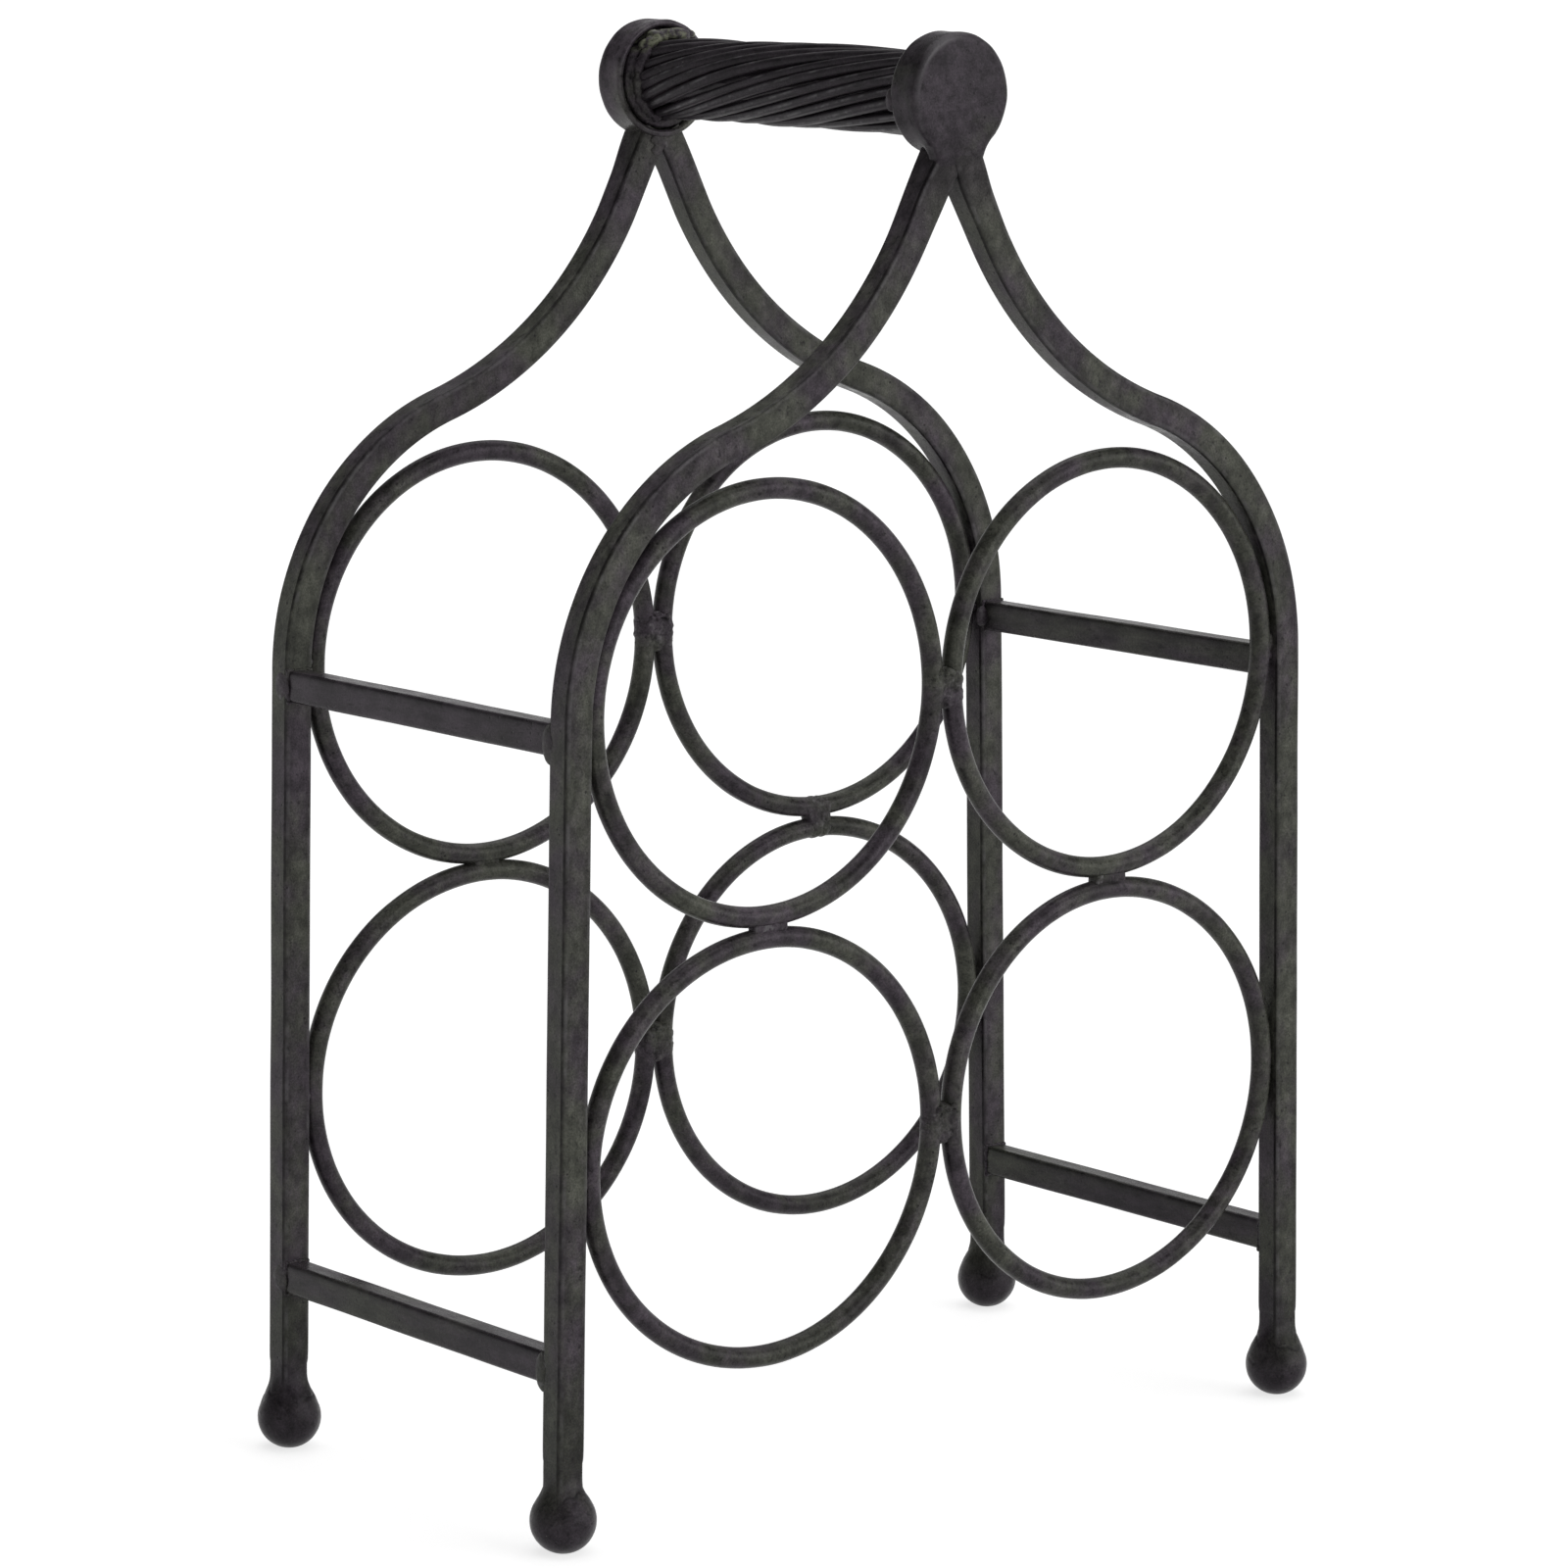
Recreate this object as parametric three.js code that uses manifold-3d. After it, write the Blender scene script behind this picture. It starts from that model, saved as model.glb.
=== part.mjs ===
// Two-tier wine rack for four bottles, welded from square bar and round rod.
// Millimetres, +Z up. The front frame is at -Y and the origin is on the floor under the middle.

import * as THREE from "three";
import { mergeVertices } from "three/addons/utils/BufferGeometryUtils.js";
import Module from "manifold-3d";

const wasm = await Module();
wasm.setup();

// Driving dimensions

const WELD_GAP = 0.3; // clearance kept at every welded contact

const RING_BORE = 91.1; // clear diameter for a bottle
const RING_ROD = 4.9; // rod diameter
const RING_SPACE = 0.4; // between neighbouring rings
const LOWER_RING_HEIGHT = 83.2; // ring centre above the floor

const FRAME_DISTANCE = 108.6; // between the middles of the front and back frames

const BAR_WIDTH = 7.2; // across an upright, in the plane of its frame
const BAR_DEPTH = 6.6; // through an upright, from front to back
const BAR_EASE = 0.8; // chamfer on the bar's long edges
const LEG_LEAN = 1.03; // degrees that a leg leans outwards towards the floor
const SHOULDER_RADIUS = 63; // bends are measured at the middle of the bar
const THROAT_RADIUS = 90.8;
const HEAD_LEAN = 28.13; // degrees from upright where a frame's two bars meet under the handle
const HEAD_LAP = 0.26; // trimmed from each of those bars at the middle

const FOOT_HEIGHT = 21.2;
const FOOT_BALL_RADIUS = 7.6;
const FOOT_FLARE_ANGLE = 130; // degrees up round the ball, where the flare to the neck starts
const FOOT_NECK_RADIUS = 4.1;
const FOOT_NECK_DROP = 3.67; // narrowest place below the top of the foot
const FOOT_TOP_RADIUS = 4.3;
const FOOT_FLAT_RADIUS = 2.6; // worn flat that stands on the floor

const CROSS_BAR_HEIGHT = 7.3;
const CROSS_BAR_WIDTH = 6;
const CROSS_BAR_INSET = 0.6; // from the outer face of the uprights
const UPPER_CROSS_BAR_DROP = 4.2; // middle of the bar below the centres of the upper rings
const LOWER_CROSS_BAR_DROP = 43.3; // and below those of the lower rings

const HANDLE_RISE = 133; // handle axis above the centres of the upper rings
const HANDLE_DIAMETER = 20.2; // over the strands
const STRAND_COUNT = 20;
const STRAND_SPACE = 0.25; // between neighbouring strands
const HANDLE_TWIST = 165; // degrees from one end to the other

const HANDLE_WELD_WIDTH = 2; // between the strands and the wall of the cap
const CAP_DEPTH = 9.4;
const CAP_PROUD = 1.9; // cap face in front of the uprights' outer face
const CAP_FACE_THICKNESS = 3;
const CAP_WALL = 1.9;
const CAP_EDGE = 1.6; // rounding of the outer edge
const CAP_NECK_DROP = 17.3; // from the handle axis to the underside of the neck
const CAP_NECK_WAIST = 6.8; // half width at the narrowest place
const CAP_NECK_FLARE = 8.8; // half width where the neck runs into the cap

const BEAD_REACH = 2.6; // half width of a ring weld across the two rods
const BEAD_LENGTH = 4.4; // half length along the rods
const BEAD_HEIGHT = 2; // half thickness

// Sizes that follow from the driving dimensions

const RING_RADIUS = (RING_BORE + RING_ROD) / 2;
const RING_OUTER = RING_RADIUS + RING_ROD / 2;
const COLUMN_OFFSET = RING_OUTER + RING_SPACE / 2;
const UPPER_RING_HEIGHT = LOWER_RING_HEIGHT + 2 * RING_OUTER + RING_SPACE;
const FRAME_Y = FRAME_DISTANCE / 2;
const LEG_X = COLUMN_OFFSET + RING_OUTER + WELD_GAP + BAR_WIDTH / 2; // at the height of the upper rings
const LEAN = THREE.MathUtils.degToRad(LEG_LEAN);
const LEG_BASE = FOOT_HEIGHT + WELD_GAP;
const UPPER_CROSS_BAR_LEVEL = UPPER_RING_HEIGHT - UPPER_CROSS_BAR_DROP;
const LOWER_CROSS_BAR_LEVEL = LOWER_RING_HEIGHT - LOWER_CROSS_BAR_DROP;
const HANDLE_LEVEL = UPPER_RING_HEIGHT + HANDLE_RISE;
const NECK_BASE = HANDLE_LEVEL - CAP_NECK_DROP;
const HEAD = THREE.MathUtils.degToRad(HEAD_LEAN);
const HEAD_HALF_WIDTH = BAR_WIDTH / 2 / Math.cos(HEAD); // of a leaning bar, cut level
const HEAD_X = HEAD_HALF_WIDTH - HEAD_LAP; // middle of a bar at the underside of the neck
const CAP_FACE_Y = FRAME_Y + BAR_DEPTH / 2 + CAP_PROUD;
const CAP_FLOOR_Y = CAP_FACE_Y - CAP_FACE_THICKNESS;
const CAP_BORE_RADIUS = HANDLE_DIAMETER / 2 + HANDLE_WELD_WIDTH;
const CAP_RADIUS = CAP_BORE_RADIUS + CAP_WALL;
const HANDLE_END_Y = CAP_FLOOR_Y - WELD_GAP;
const STRAND_HALF_ANGLE = Math.PI / STRAND_COUNT;
const STRAND_CIRCLE = HANDLE_DIAMETER / 2 / (1 + Math.sin(STRAND_HALF_ANGLE));
const STRAND_RADIUS = HANDLE_DIAMETER / 2 - STRAND_CIRCLE - STRAND_SPACE / 2;
const CORE_RADIUS = STRAND_CIRCLE - STRAND_RADIUS - WELD_GAP;

// Mesh fineness

const RING_STEPS = 36;
const RING_SIDES = 8;
const UPRIGHT_STEPS = 26;
const STRAND_STEPS = 14;
const STRAND_SIDES = 6;
const ROUND_SIDES = 24;
const FOOT_SIDES = 16;
const FOOT_BALL_STEPS = 7;
const CAP_EDGE_STEPS = 3;
const NECK_CURVE_STEPS = 6;
const BEAD_SIDES = 12;
const MERGE_DISTANCE = 1e-4;

// Materials

function iron(color, roughness) {
  return new THREE.MeshStandardMaterial({ color, roughness, metalness: 0.6 });
}

const barIron = iron(0x40413e, 0.55);
const rodIron = iron(0x3a393a, 0.5);
const handleIron = iron(0x302e31, 0.5);
const weldIron = iron(0x393a36, 0.65);

// Solids

function welded(geometry) {
  const bare = geometry.clone();
  bare.deleteAttribute("normal");
  bare.deleteAttribute("uv");
  return mergeVertices(bare, MERGE_DISTANCE);
}

function solidOf(geometry) {
  const mesh = welded(geometry);
  const vertProperties = new Float32Array(mesh.attributes.position.array);
  const triVerts = new Uint32Array(mesh.index.array);
  return new wasm.Manifold(new wasm.Mesh({ numProp: 3, vertProperties, triVerts }));
}

function geometryOf(solid) {
  const { vertProperties, triVerts } = solid.getMesh();
  const geometry = new THREE.BufferGeometry();
  geometry.setAttribute("position", new THREE.BufferAttribute(vertProperties, 3));
  geometry.setIndex(new THREE.BufferAttribute(triVerts, 1));
  geometry.computeVertexNormals();
  return geometry;
}

function cutAway(geometry, ...tools) {
  return geometryOf(tools.reduce((rest, tool) => rest.subtract(solidOf(tool)), solidOf(geometry)));
}

// Section of a bar with eased edges

function barSection(across, up) {
  const x = across / 2;
  const y = up / 2;
  const corners = [
    [x - BAR_EASE, -y],
    [x, -y + BAR_EASE],
    [x, y - BAR_EASE],
    [x - BAR_EASE, y],
    [-x + BAR_EASE, y],
    [-x, y - BAR_EASE],
    [-x, -y + BAR_EASE],
    [-x + BAR_EASE, -y],
  ];
  return new THREE.Shape(corners.map(([a, b]) => new THREE.Vector2(a, b)));
}

// Uprights

function legX(z) {
  return LEG_X + (UPPER_RING_HEIGHT - z) * Math.tan(LEAN);
}

// Middle line of the right-hand upright: leg, shoulder bend, reverse bend and straight run past the middle
class UprightCurve extends THREE.Curve {
  constructor() {
    super();
    this.legStart = [legX(LEG_BASE), LEG_BASE];
    this.legEnd = [LEG_X, UPPER_RING_HEIGHT];
    this.shoulderEnd = this.shoulderEndAngle();
    this.throatStart = this.onShoulder(this.shoulderEnd);
    this.runStart = this.onThroat(HEAD);
    const rise = HANDLE_LEVEL - this.runStart[1];
    this.runEnd = [this.runStart[0] - rise * Math.tan(HEAD), HANDLE_LEVEL];
    this.lengths = [
      Math.hypot(this.legEnd[0] - this.legStart[0], this.legEnd[1] - this.legStart[1]),
      SHOULDER_RADIUS * (this.shoulderEnd - LEAN),
      THROAT_RADIUS * (this.shoulderEnd - HEAD),
      Math.hypot(this.runEnd[0] - this.runStart[0], rise),
    ];
  }

  // The shoulder turns just as far as brings the bar to its place under the neck
  shoulderEndAngle() {
    const bendsAcross = SHOULDER_RADIUS * Math.cos(LEAN) + THROAT_RADIUS * Math.cos(HEAD);
    const bendsUp = SHOULDER_RADIUS * Math.sin(LEAN) + THROAT_RADIUS * Math.sin(HEAD);
    const across = HEAD_X - LEG_X + bendsAcross;
    const up = NECK_BASE - UPPER_RING_HEIGHT + bendsUp;
    const reach = across * Math.cos(HEAD) + up * Math.sin(HEAD);
    return HEAD + Math.acos(reach / (SHOULDER_RADIUS + THROAT_RADIUS));
  }

  onShoulder(angle) {
    const [x, z] = this.legEnd;
    return [
      x - SHOULDER_RADIUS * (Math.cos(LEAN) - Math.cos(angle)),
      z + SHOULDER_RADIUS * (Math.sin(angle) - Math.sin(LEAN)),
    ];
  }

  onThroat(angle) {
    const [x, z] = this.throatStart;
    return [
      x - THROAT_RADIUS * (Math.cos(angle) - Math.cos(this.shoulderEnd)),
      z + THROAT_RADIUS * (Math.sin(this.shoulderEnd) - Math.sin(angle)),
    ];
  }

  alongLine(from, to, share) {
    return [THREE.MathUtils.lerp(from[0], to[0], share), THREE.MathUtils.lerp(from[1], to[1], share)];
  }

  getPoint(t, target = new THREE.Vector3()) {
    const total = this.lengths.reduce((sum, length) => sum + length, 0);
    let rest = t * total;
    let stretch = 0;
    while (stretch < this.lengths.length - 1 && rest > this.lengths[stretch]) {
      rest -= this.lengths[stretch];
      stretch += 1;
    }
    const share = rest / this.lengths[stretch];
    const places = [
      () => this.alongLine(this.legStart, this.legEnd, share),
      () => this.onShoulder(THREE.MathUtils.lerp(LEAN, this.shoulderEnd, share)),
      () => this.onThroat(THREE.MathUtils.lerp(this.shoulderEnd, HEAD, share)),
      () => this.alongLine(this.runStart, this.runEnd, share),
    ];
    const [x, z] = places[stretch]();
    return target.set(x, 0, z);
  }
}

function uprightGeometry(side) {
  const bar = new THREE.ExtrudeGeometry(barSection(BAR_DEPTH, BAR_WIDTH), {
    steps: UPRIGHT_STEPS,
    extrudePath: new UprightCurve(),
  });
  const room = 2 * LEG_X;
  const aboveNeck = new THREE.BoxGeometry(room, room, room);
  aboveNeck.translate(0, 0, NECK_BASE - WELD_GAP + room / 2);
  const pastMiddle = new THREE.BoxGeometry(room, room, 2 * HANDLE_LEVEL);
  pastMiddle.translate(WELD_GAP / 2 - room / 2, 0, HANDLE_LEVEL);
  const upright = cutAway(bar, aboveNeck, pastMiddle);
  return side < 0 ? upright.rotateZ(Math.PI) : upright;
}

// Feet

function footGeometry() {
  const ballCentre = Math.sqrt(FOOT_BALL_RADIUS ** 2 - FOOT_FLAT_RADIUS ** 2);
  const flatAngle = Math.asin(FOOT_FLAT_RADIUS / FOOT_BALL_RADIUS);
  const flareAngle = THREE.MathUtils.degToRad(FOOT_FLARE_ANGLE);
  const profile = [new THREE.Vector2(0, 0)];
  for (let i = 0; i <= FOOT_BALL_STEPS; i += 1) {
    const angle = THREE.MathUtils.lerp(flatAngle, flareAngle, i / FOOT_BALL_STEPS);
    profile.push(
      new THREE.Vector2(FOOT_BALL_RADIUS * Math.sin(angle), ballCentre - FOOT_BALL_RADIUS * Math.cos(angle)),
    );
  }
  profile.push(new THREE.Vector2(FOOT_NECK_RADIUS, FOOT_HEIGHT - FOOT_NECK_DROP));
  profile.push(new THREE.Vector2(FOOT_TOP_RADIUS, FOOT_HEIGHT));
  profile.push(new THREE.Vector2(0, FOOT_HEIGHT));
  return new THREE.LatheGeometry(profile, FOOT_SIDES).rotateX(Math.PI / 2);
}

// Bottle rings

function ringGeometry(clearance = 0) {
  const ring = new THREE.TorusGeometry(RING_RADIUS, RING_ROD / 2 + clearance, RING_SIDES, RING_STEPS);
  return ring.rotateX(Math.PI / 2);
}

// Cross bars

function crossBarGeometry() {
  const length = FRAME_DISTANCE - BAR_DEPTH - 2 * WELD_GAP;
  const bar = new THREE.ExtrudeGeometry(barSection(CROSS_BAR_WIDTH, CROSS_BAR_HEIGHT), {
    depth: length,
    bevelEnabled: false,
  });
  return bar.rotateX(Math.PI / 2).translate(0, length / 2, 0);
}

// Handle caps, modelled for the back frame: the closed face looks along +Y

function capBodyGeometry() {
  const inner = CAP_FACE_Y - CAP_DEPTH;
  const profile = [new THREE.Vector2(0, inner), new THREE.Vector2(CAP_RADIUS, inner)];
  for (let i = 0; i <= CAP_EDGE_STEPS; i += 1) {
    const angle = (Math.PI / 2) * (i / CAP_EDGE_STEPS);
    profile.push(
      new THREE.Vector2(
        CAP_RADIUS - CAP_EDGE * (1 - Math.cos(angle)),
        CAP_FACE_Y - CAP_EDGE * (1 - Math.sin(angle)),
      ),
    );
  }
  profile.push(new THREE.Vector2(0, CAP_FACE_Y));
  return new THREE.LatheGeometry(profile, ROUND_SIDES);
}

function capNeckGeometry() {
  const baseHalf = HEAD_X + HEAD_HALF_WIDTH;
  const base = -CAP_NECK_DROP;
  const flareRise = -Math.sqrt(CAP_RADIUS ** 2 - CAP_NECK_FLARE ** 2) + CAP_EDGE;
  const waist = (base + flareRise) / 2;
  const waistPull = 2 * CAP_NECK_WAIST - (baseHalf + CAP_NECK_FLARE) / 2;
  const shape = new THREE.Shape();
  shape.moveTo(-baseHalf, base);
  shape.lineTo(baseHalf, base);
  shape.quadraticCurveTo(waistPull, waist, CAP_NECK_FLARE, flareRise);
  shape.lineTo(-CAP_NECK_FLARE, flareRise);
  shape.quadraticCurveTo(-waistPull, waist, -baseHalf, base);
  const neck = new THREE.ExtrudeGeometry(shape, {
    depth: BAR_DEPTH,
    bevelEnabled: false,
    curveSegments: NECK_CURVE_STEPS,
  });
  return neck.rotateX(Math.PI / 2).translate(0, FRAME_Y + BAR_DEPTH / 2, 0);
}

function capGeometry() {
  const bore = new THREE.CylinderGeometry(CAP_BORE_RADIUS, CAP_BORE_RADIUS, CAP_DEPTH, ROUND_SIDES);
  bore.translate(0, CAP_FLOOR_Y - CAP_DEPTH / 2, 0);
  const body = solidOf(capBodyGeometry()).add(solidOf(capNeckGeometry()));
  return geometryOf(body.subtract(solidOf(bore)));
}

// Handle

class StrandCurve extends THREE.Curve {
  constructor(startAngle) {
    super();
    this.startAngle = startAngle;
  }

  getPoint(t, target = new THREE.Vector3()) {
    const angle = this.startAngle + THREE.MathUtils.degToRad(HANDLE_TWIST) * (t - 0.5);
    return target.set(
      STRAND_CIRCLE * Math.cos(angle),
      THREE.MathUtils.lerp(-HANDLE_END_Y, HANDLE_END_Y, t),
      STRAND_CIRCLE * Math.sin(angle),
    );
  }
}

function strandGeometry(index) {
  const corners = [];
  for (let i = 0; i < STRAND_SIDES; i += 1) {
    const angle = (2 * Math.PI * i) / STRAND_SIDES;
    corners.push(new THREE.Vector2(STRAND_RADIUS * Math.cos(angle), STRAND_RADIUS * Math.sin(angle)));
  }
  return new THREE.ExtrudeGeometry(new THREE.Shape(corners), {
    steps: STRAND_STEPS,
    extrudePath: new StrandCurve(2 * STRAND_HALF_ANGLE * index),
  });
}

function handleCoreGeometry() {
  return new THREE.CylinderGeometry(CORE_RADIUS, CORE_RADIUS, 2 * HANDLE_END_Y, ROUND_SIDES);
}

// Rough collar of weld between the strands and the wall of the cup
function handleWeldGeometry() {
  const inside = HANDLE_DIAMETER / 2 + WELD_GAP;
  const outside = CAP_BORE_RADIUS - WELD_GAP;
  const mouth = CAP_FACE_Y - CAP_DEPTH;
  const middle = (mouth + CAP_FLOOR_Y) / 2;
  const profile = [
    new THREE.Vector2(inside, middle),
    new THREE.Vector2(inside, mouth),
    new THREE.Vector2((inside + outside) / 2, mouth + WELD_GAP),
    new THREE.Vector2(outside, (mouth + middle) / 2),
    new THREE.Vector2(outside, middle),
    new THREE.Vector2(inside, middle),
  ];
  return new THREE.LatheGeometry(profile, ROUND_SIDES);
}

// Weld beads on the rings

// A bead lies in the groove between two rings, on the side of the frame that faces away from the bottles.
// It is long in the direction of the rods where the rings touch.
function ringBeadGeometry(acrossX, outward) {
  const bead = new THREE.SphereGeometry(1, BEAD_SIDES, BEAD_SIDES / 2);
  if (acrossX) {
    bead.scale(BEAD_REACH, BEAD_HEIGHT, BEAD_LENGTH);
  } else {
    bead.scale(BEAD_LENGTH, BEAD_HEIGHT, BEAD_REACH);
  }
  bead.translate(0, outward * RING_ROD / 2, 0);
  const offset = RING_OUTER + RING_SPACE / 2;
  const tools = [-1, 1].map((end) =>
    ringGeometry(WELD_GAP).translate(acrossX ? end * offset : 0, 0, acrossX ? 0 : end * offset),
  );
  return cutAway(bead, ...tools);
}

// Assembly

const rack = new THREE.Group();

function place(name, geometry, material, x, y, z, group = rack) {
  const mesh = new THREE.Mesh(geometry, material);
  mesh.name = name;
  mesh.position.set(x, y, z);
  group.add(mesh);
}

const sides = [
  ["left", -1],
  ["right", 1],
];
const tiers = [
  ["lower", LOWER_RING_HEIGHT],
  ["upper", UPPER_RING_HEIGHT],
];
const crossBarLevels = [
  ["lower", LOWER_CROSS_BAR_LEVEL],
  ["upper", UPPER_CROSS_BAR_LEVEL],
];

function addFrame(end, facing) {
  const frame = new THREE.Group();
  frame.position.y = facing * FRAME_Y;
  rack.add(frame);
  for (const [side, sign] of sides) {
    place(`${end}_${side}_upright`, uprightGeometry(sign), barIron, 0, 0, 0, frame);
    place(`${end}_${side}_foot`, footGeometry(), barIron, sign * legX(LEG_BASE), 0, 0, frame);
    for (const [tier, height] of tiers) {
      place(`${end}_${tier}_${side}_ring`, ringGeometry(), rodIron, sign * COLUMN_OFFSET, 0, height, frame);
    }
    const tierMiddle = (LOWER_RING_HEIGHT + UPPER_RING_HEIGHT) / 2;
    const tierBead = ringBeadGeometry(false, facing);
    place(`${end}_${side}_tier_weld`, tierBead, weldIron, sign * COLUMN_OFFSET, 0, tierMiddle, frame);
  }
  for (const [tier, height] of tiers) {
    place(`${end}_${tier}_ring_weld`, ringBeadGeometry(true, facing), weldIron, 0, 0, height, frame);
  }
}

function addCrossBars() {
  for (const [side, sign] of sides) {
    for (const [tier, level] of crossBarLevels) {
      const outerFace = legX(level) + BAR_WIDTH / 2;
      const x = sign * (outerFace - CROSS_BAR_INSET - CROSS_BAR_WIDTH / 2);
      place(`${side}_${tier}_cross_bar`, crossBarGeometry(), barIron, x, 0, level);
    }
  }
}

function addHandle() {
  const handle = new THREE.Group();
  handle.position.z = HANDLE_LEVEL;
  rack.add(handle);
  place("handle_core", handleCoreGeometry(), handleIron, 0, 0, 0, handle);
  for (let i = 0; i < STRAND_COUNT; i += 1) {
    const number = String(i + 1).padStart(2, "0");
    place(`handle_strand_${number}`, strandGeometry(i), handleIron, 0, 0, 0, handle);
  }
  for (const [end, turn] of [
    ["front", Math.PI],
    ["back", 0],
  ]) {
    place(`${end}_handle_cap`, capGeometry().rotateZ(turn), handleIron, 0, 0, 0, handle);
    place(`${end}_handle_weld`, handleWeldGeometry().rotateZ(turn), weldIron, 0, 0, 0, handle);
  }
}

addFrame("front", -1);
addFrame("back", 1);
addCrossBars();
addHandle();

export default rack;
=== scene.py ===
import math
import random

import bmesh
import bpy
import numpy as np
from mathutils import Matrix, Vector, noise


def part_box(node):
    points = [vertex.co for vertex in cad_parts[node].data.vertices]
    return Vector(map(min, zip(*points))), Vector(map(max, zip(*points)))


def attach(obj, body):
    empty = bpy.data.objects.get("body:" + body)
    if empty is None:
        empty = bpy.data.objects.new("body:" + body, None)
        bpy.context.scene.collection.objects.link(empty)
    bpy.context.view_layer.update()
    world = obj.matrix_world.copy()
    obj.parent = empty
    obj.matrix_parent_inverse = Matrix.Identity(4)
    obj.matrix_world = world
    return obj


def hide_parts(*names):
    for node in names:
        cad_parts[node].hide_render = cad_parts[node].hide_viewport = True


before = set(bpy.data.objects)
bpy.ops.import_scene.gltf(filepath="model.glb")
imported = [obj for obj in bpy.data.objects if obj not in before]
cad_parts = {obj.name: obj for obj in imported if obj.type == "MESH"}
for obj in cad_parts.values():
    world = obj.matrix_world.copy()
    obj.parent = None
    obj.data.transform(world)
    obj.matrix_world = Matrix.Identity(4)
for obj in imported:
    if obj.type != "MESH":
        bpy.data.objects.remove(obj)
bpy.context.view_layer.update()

# Names

ROOT = "root"
ENDS = {"front": -1, "back": 1}
SIDES = {"left": -1, "right": 1}
TIERS = ("lower", "upper")

# Dimensions repeated from the solids, in metres

MM = 0.001
BAR_WIDTH = 7.2 * MM  # across an upright, in the plane of its frame
SHOULDER_RADIUS = 63 * MM
THROAT_RADIUS = 90.8 * MM
HEAD_LEAN = math.radians(28.13)  # from upright, where a frame's two bars meet
HEAD_LAP = 0.26 * MM
NECK_DROP = 17.3 * MM  # from the handle axis to the underside of a cap's neck
HANDLE_WELD = 2.0 * MM  # between the strands and the wall of a cap
STRAND_COUNT = 20
HANDLE_TWIST = math.radians(165)

# Uprights and cross bars as dressed

UPRIGHT_CORNER = 0.8 * MM
CROSS_BAR_CORNER = 0.95 * MM
CORNER_BAND = 1.8 * MM  # painted shade in a band by each corner
CORNER_LINE = 0.09 * MM  # depth of the fine groove in it
BAR_STEP = 1.5 * MM  # between the rows of points along a bar
BAR_TUCK = (1.6 * MM, 0.2 * MM)  # rows of an upright inside its foot, from the lowest to the highest
END_TAPER = 0.07  # share by which an upright's lower end is smaller
END_TAPER_RUN = 0.8 * MM
UPRIGHT_WAVE = 0.1 * MM  # unevenness from the hammer
CROSS_BAR_WAVE = 0.12 * MM
WAVE_LENGTHS = (24 * MM, 26 * MM, 30 * MM)  # of the unevenness in x, y and z
CROSS_BAR_DRIFT = {  # cross bars that were welded a little high or low
    ("left", "upper"): 0.5 * MM,
    ("left", "lower"): 1.3 * MM,
    ("right", "lower"): -0.8 * MM,
}

HEAD_RUN = 5.3 * MM  # how far the bars run on into the wall of the cap
HEAD_HALF = BAR_WIDTH / 2 / math.cos(HEAD_LEAN)  # half width of a leaning bar, cut level
HEAD_X = HEAD_HALF - HEAD_LAP  # middle of a bar under the neck
HEAD_DRIFT = 0.65 * MM  # the hand-bent bars carry the handle a little to the right
HEAD_SWELL = 1.5 * MM  # how far the bars' outer faces come forward into the caps
SWELL_RUN = 6 * MM  # above and below the underside of the neck
HEAD_WIDER = 0.4 * MM  # how far the bars' outer edges spread under the caps
FORK_WIDER = {"front": 0.45 * MM, "back": -0.4 * MM}  # how far their inner edges spread
WIDER_RUN = 16 * MM
CROSSING_STEP = 0.22 * MM  # how far the two bars of a frame step past each other at the head
CROSSING_RUN = 14 * MM

# Feet as dressed

ROUGHNESS = 0.07 * MM  # left inside the CAD box for the dents of the feet and caps
FOOT_FLAT = 2.5 * MM  # radius of the flat that stands on the floor
FOOT_NECK = 4.45 * MM  # radius at the top of the flare
FLARE = (9.6 * MM, 17.6 * MM)  # from the ball up to the neck
SHORT_FLARE = (10.6 * MM, 15.6 * MM)  # the same on the front left foot
FLARE_END_SLOPE = -0.15
SQUARE_FROM = 11.5 * MM  # where the foot starts to take the bar's outline
SQUARE_PAST = 1.9 * MM  # above the flare, where it has it
NECK_SHARE = 0.96  # size of the neck against the bar
FOOT_SIDES = 144
FOOT_LEAN = (12 * MM, 18 * MM)  # between these heights the foot takes up the lean of the leg
FOLDS = ((12.8 * MM, 0.22 * MM), (9.4 * MM, 0.1 * MM), (14.6 * MM, 0.15 * MM))  # heights and depths
FOLD_WIDTH = 0.42 * MM
DEEPEST_FOLD = max(depth for _, depth in FOLDS)

# Rings as dressed

RING_DRIFT = {  # rings that were welded a little out of line
    ("back", "upper", "left"): (0, 0, -1.0 * MM),
    ("front", "lower", "right"): (0.7 * MM, 0, 0),
    ("front", "upper", "left"): (-0.4 * MM, 0, -0.3 * MM),
}
RING_WAVE = 0.12 * MM  # how far a ring bends out of its plane
ROD_WAVE = 0.012  # share by which the rod's radius varies
STREAK_LENGTH = 9 * MM
RING_STEPS = 260
ROD_SIDES = 20

# Handle as dressed

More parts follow.
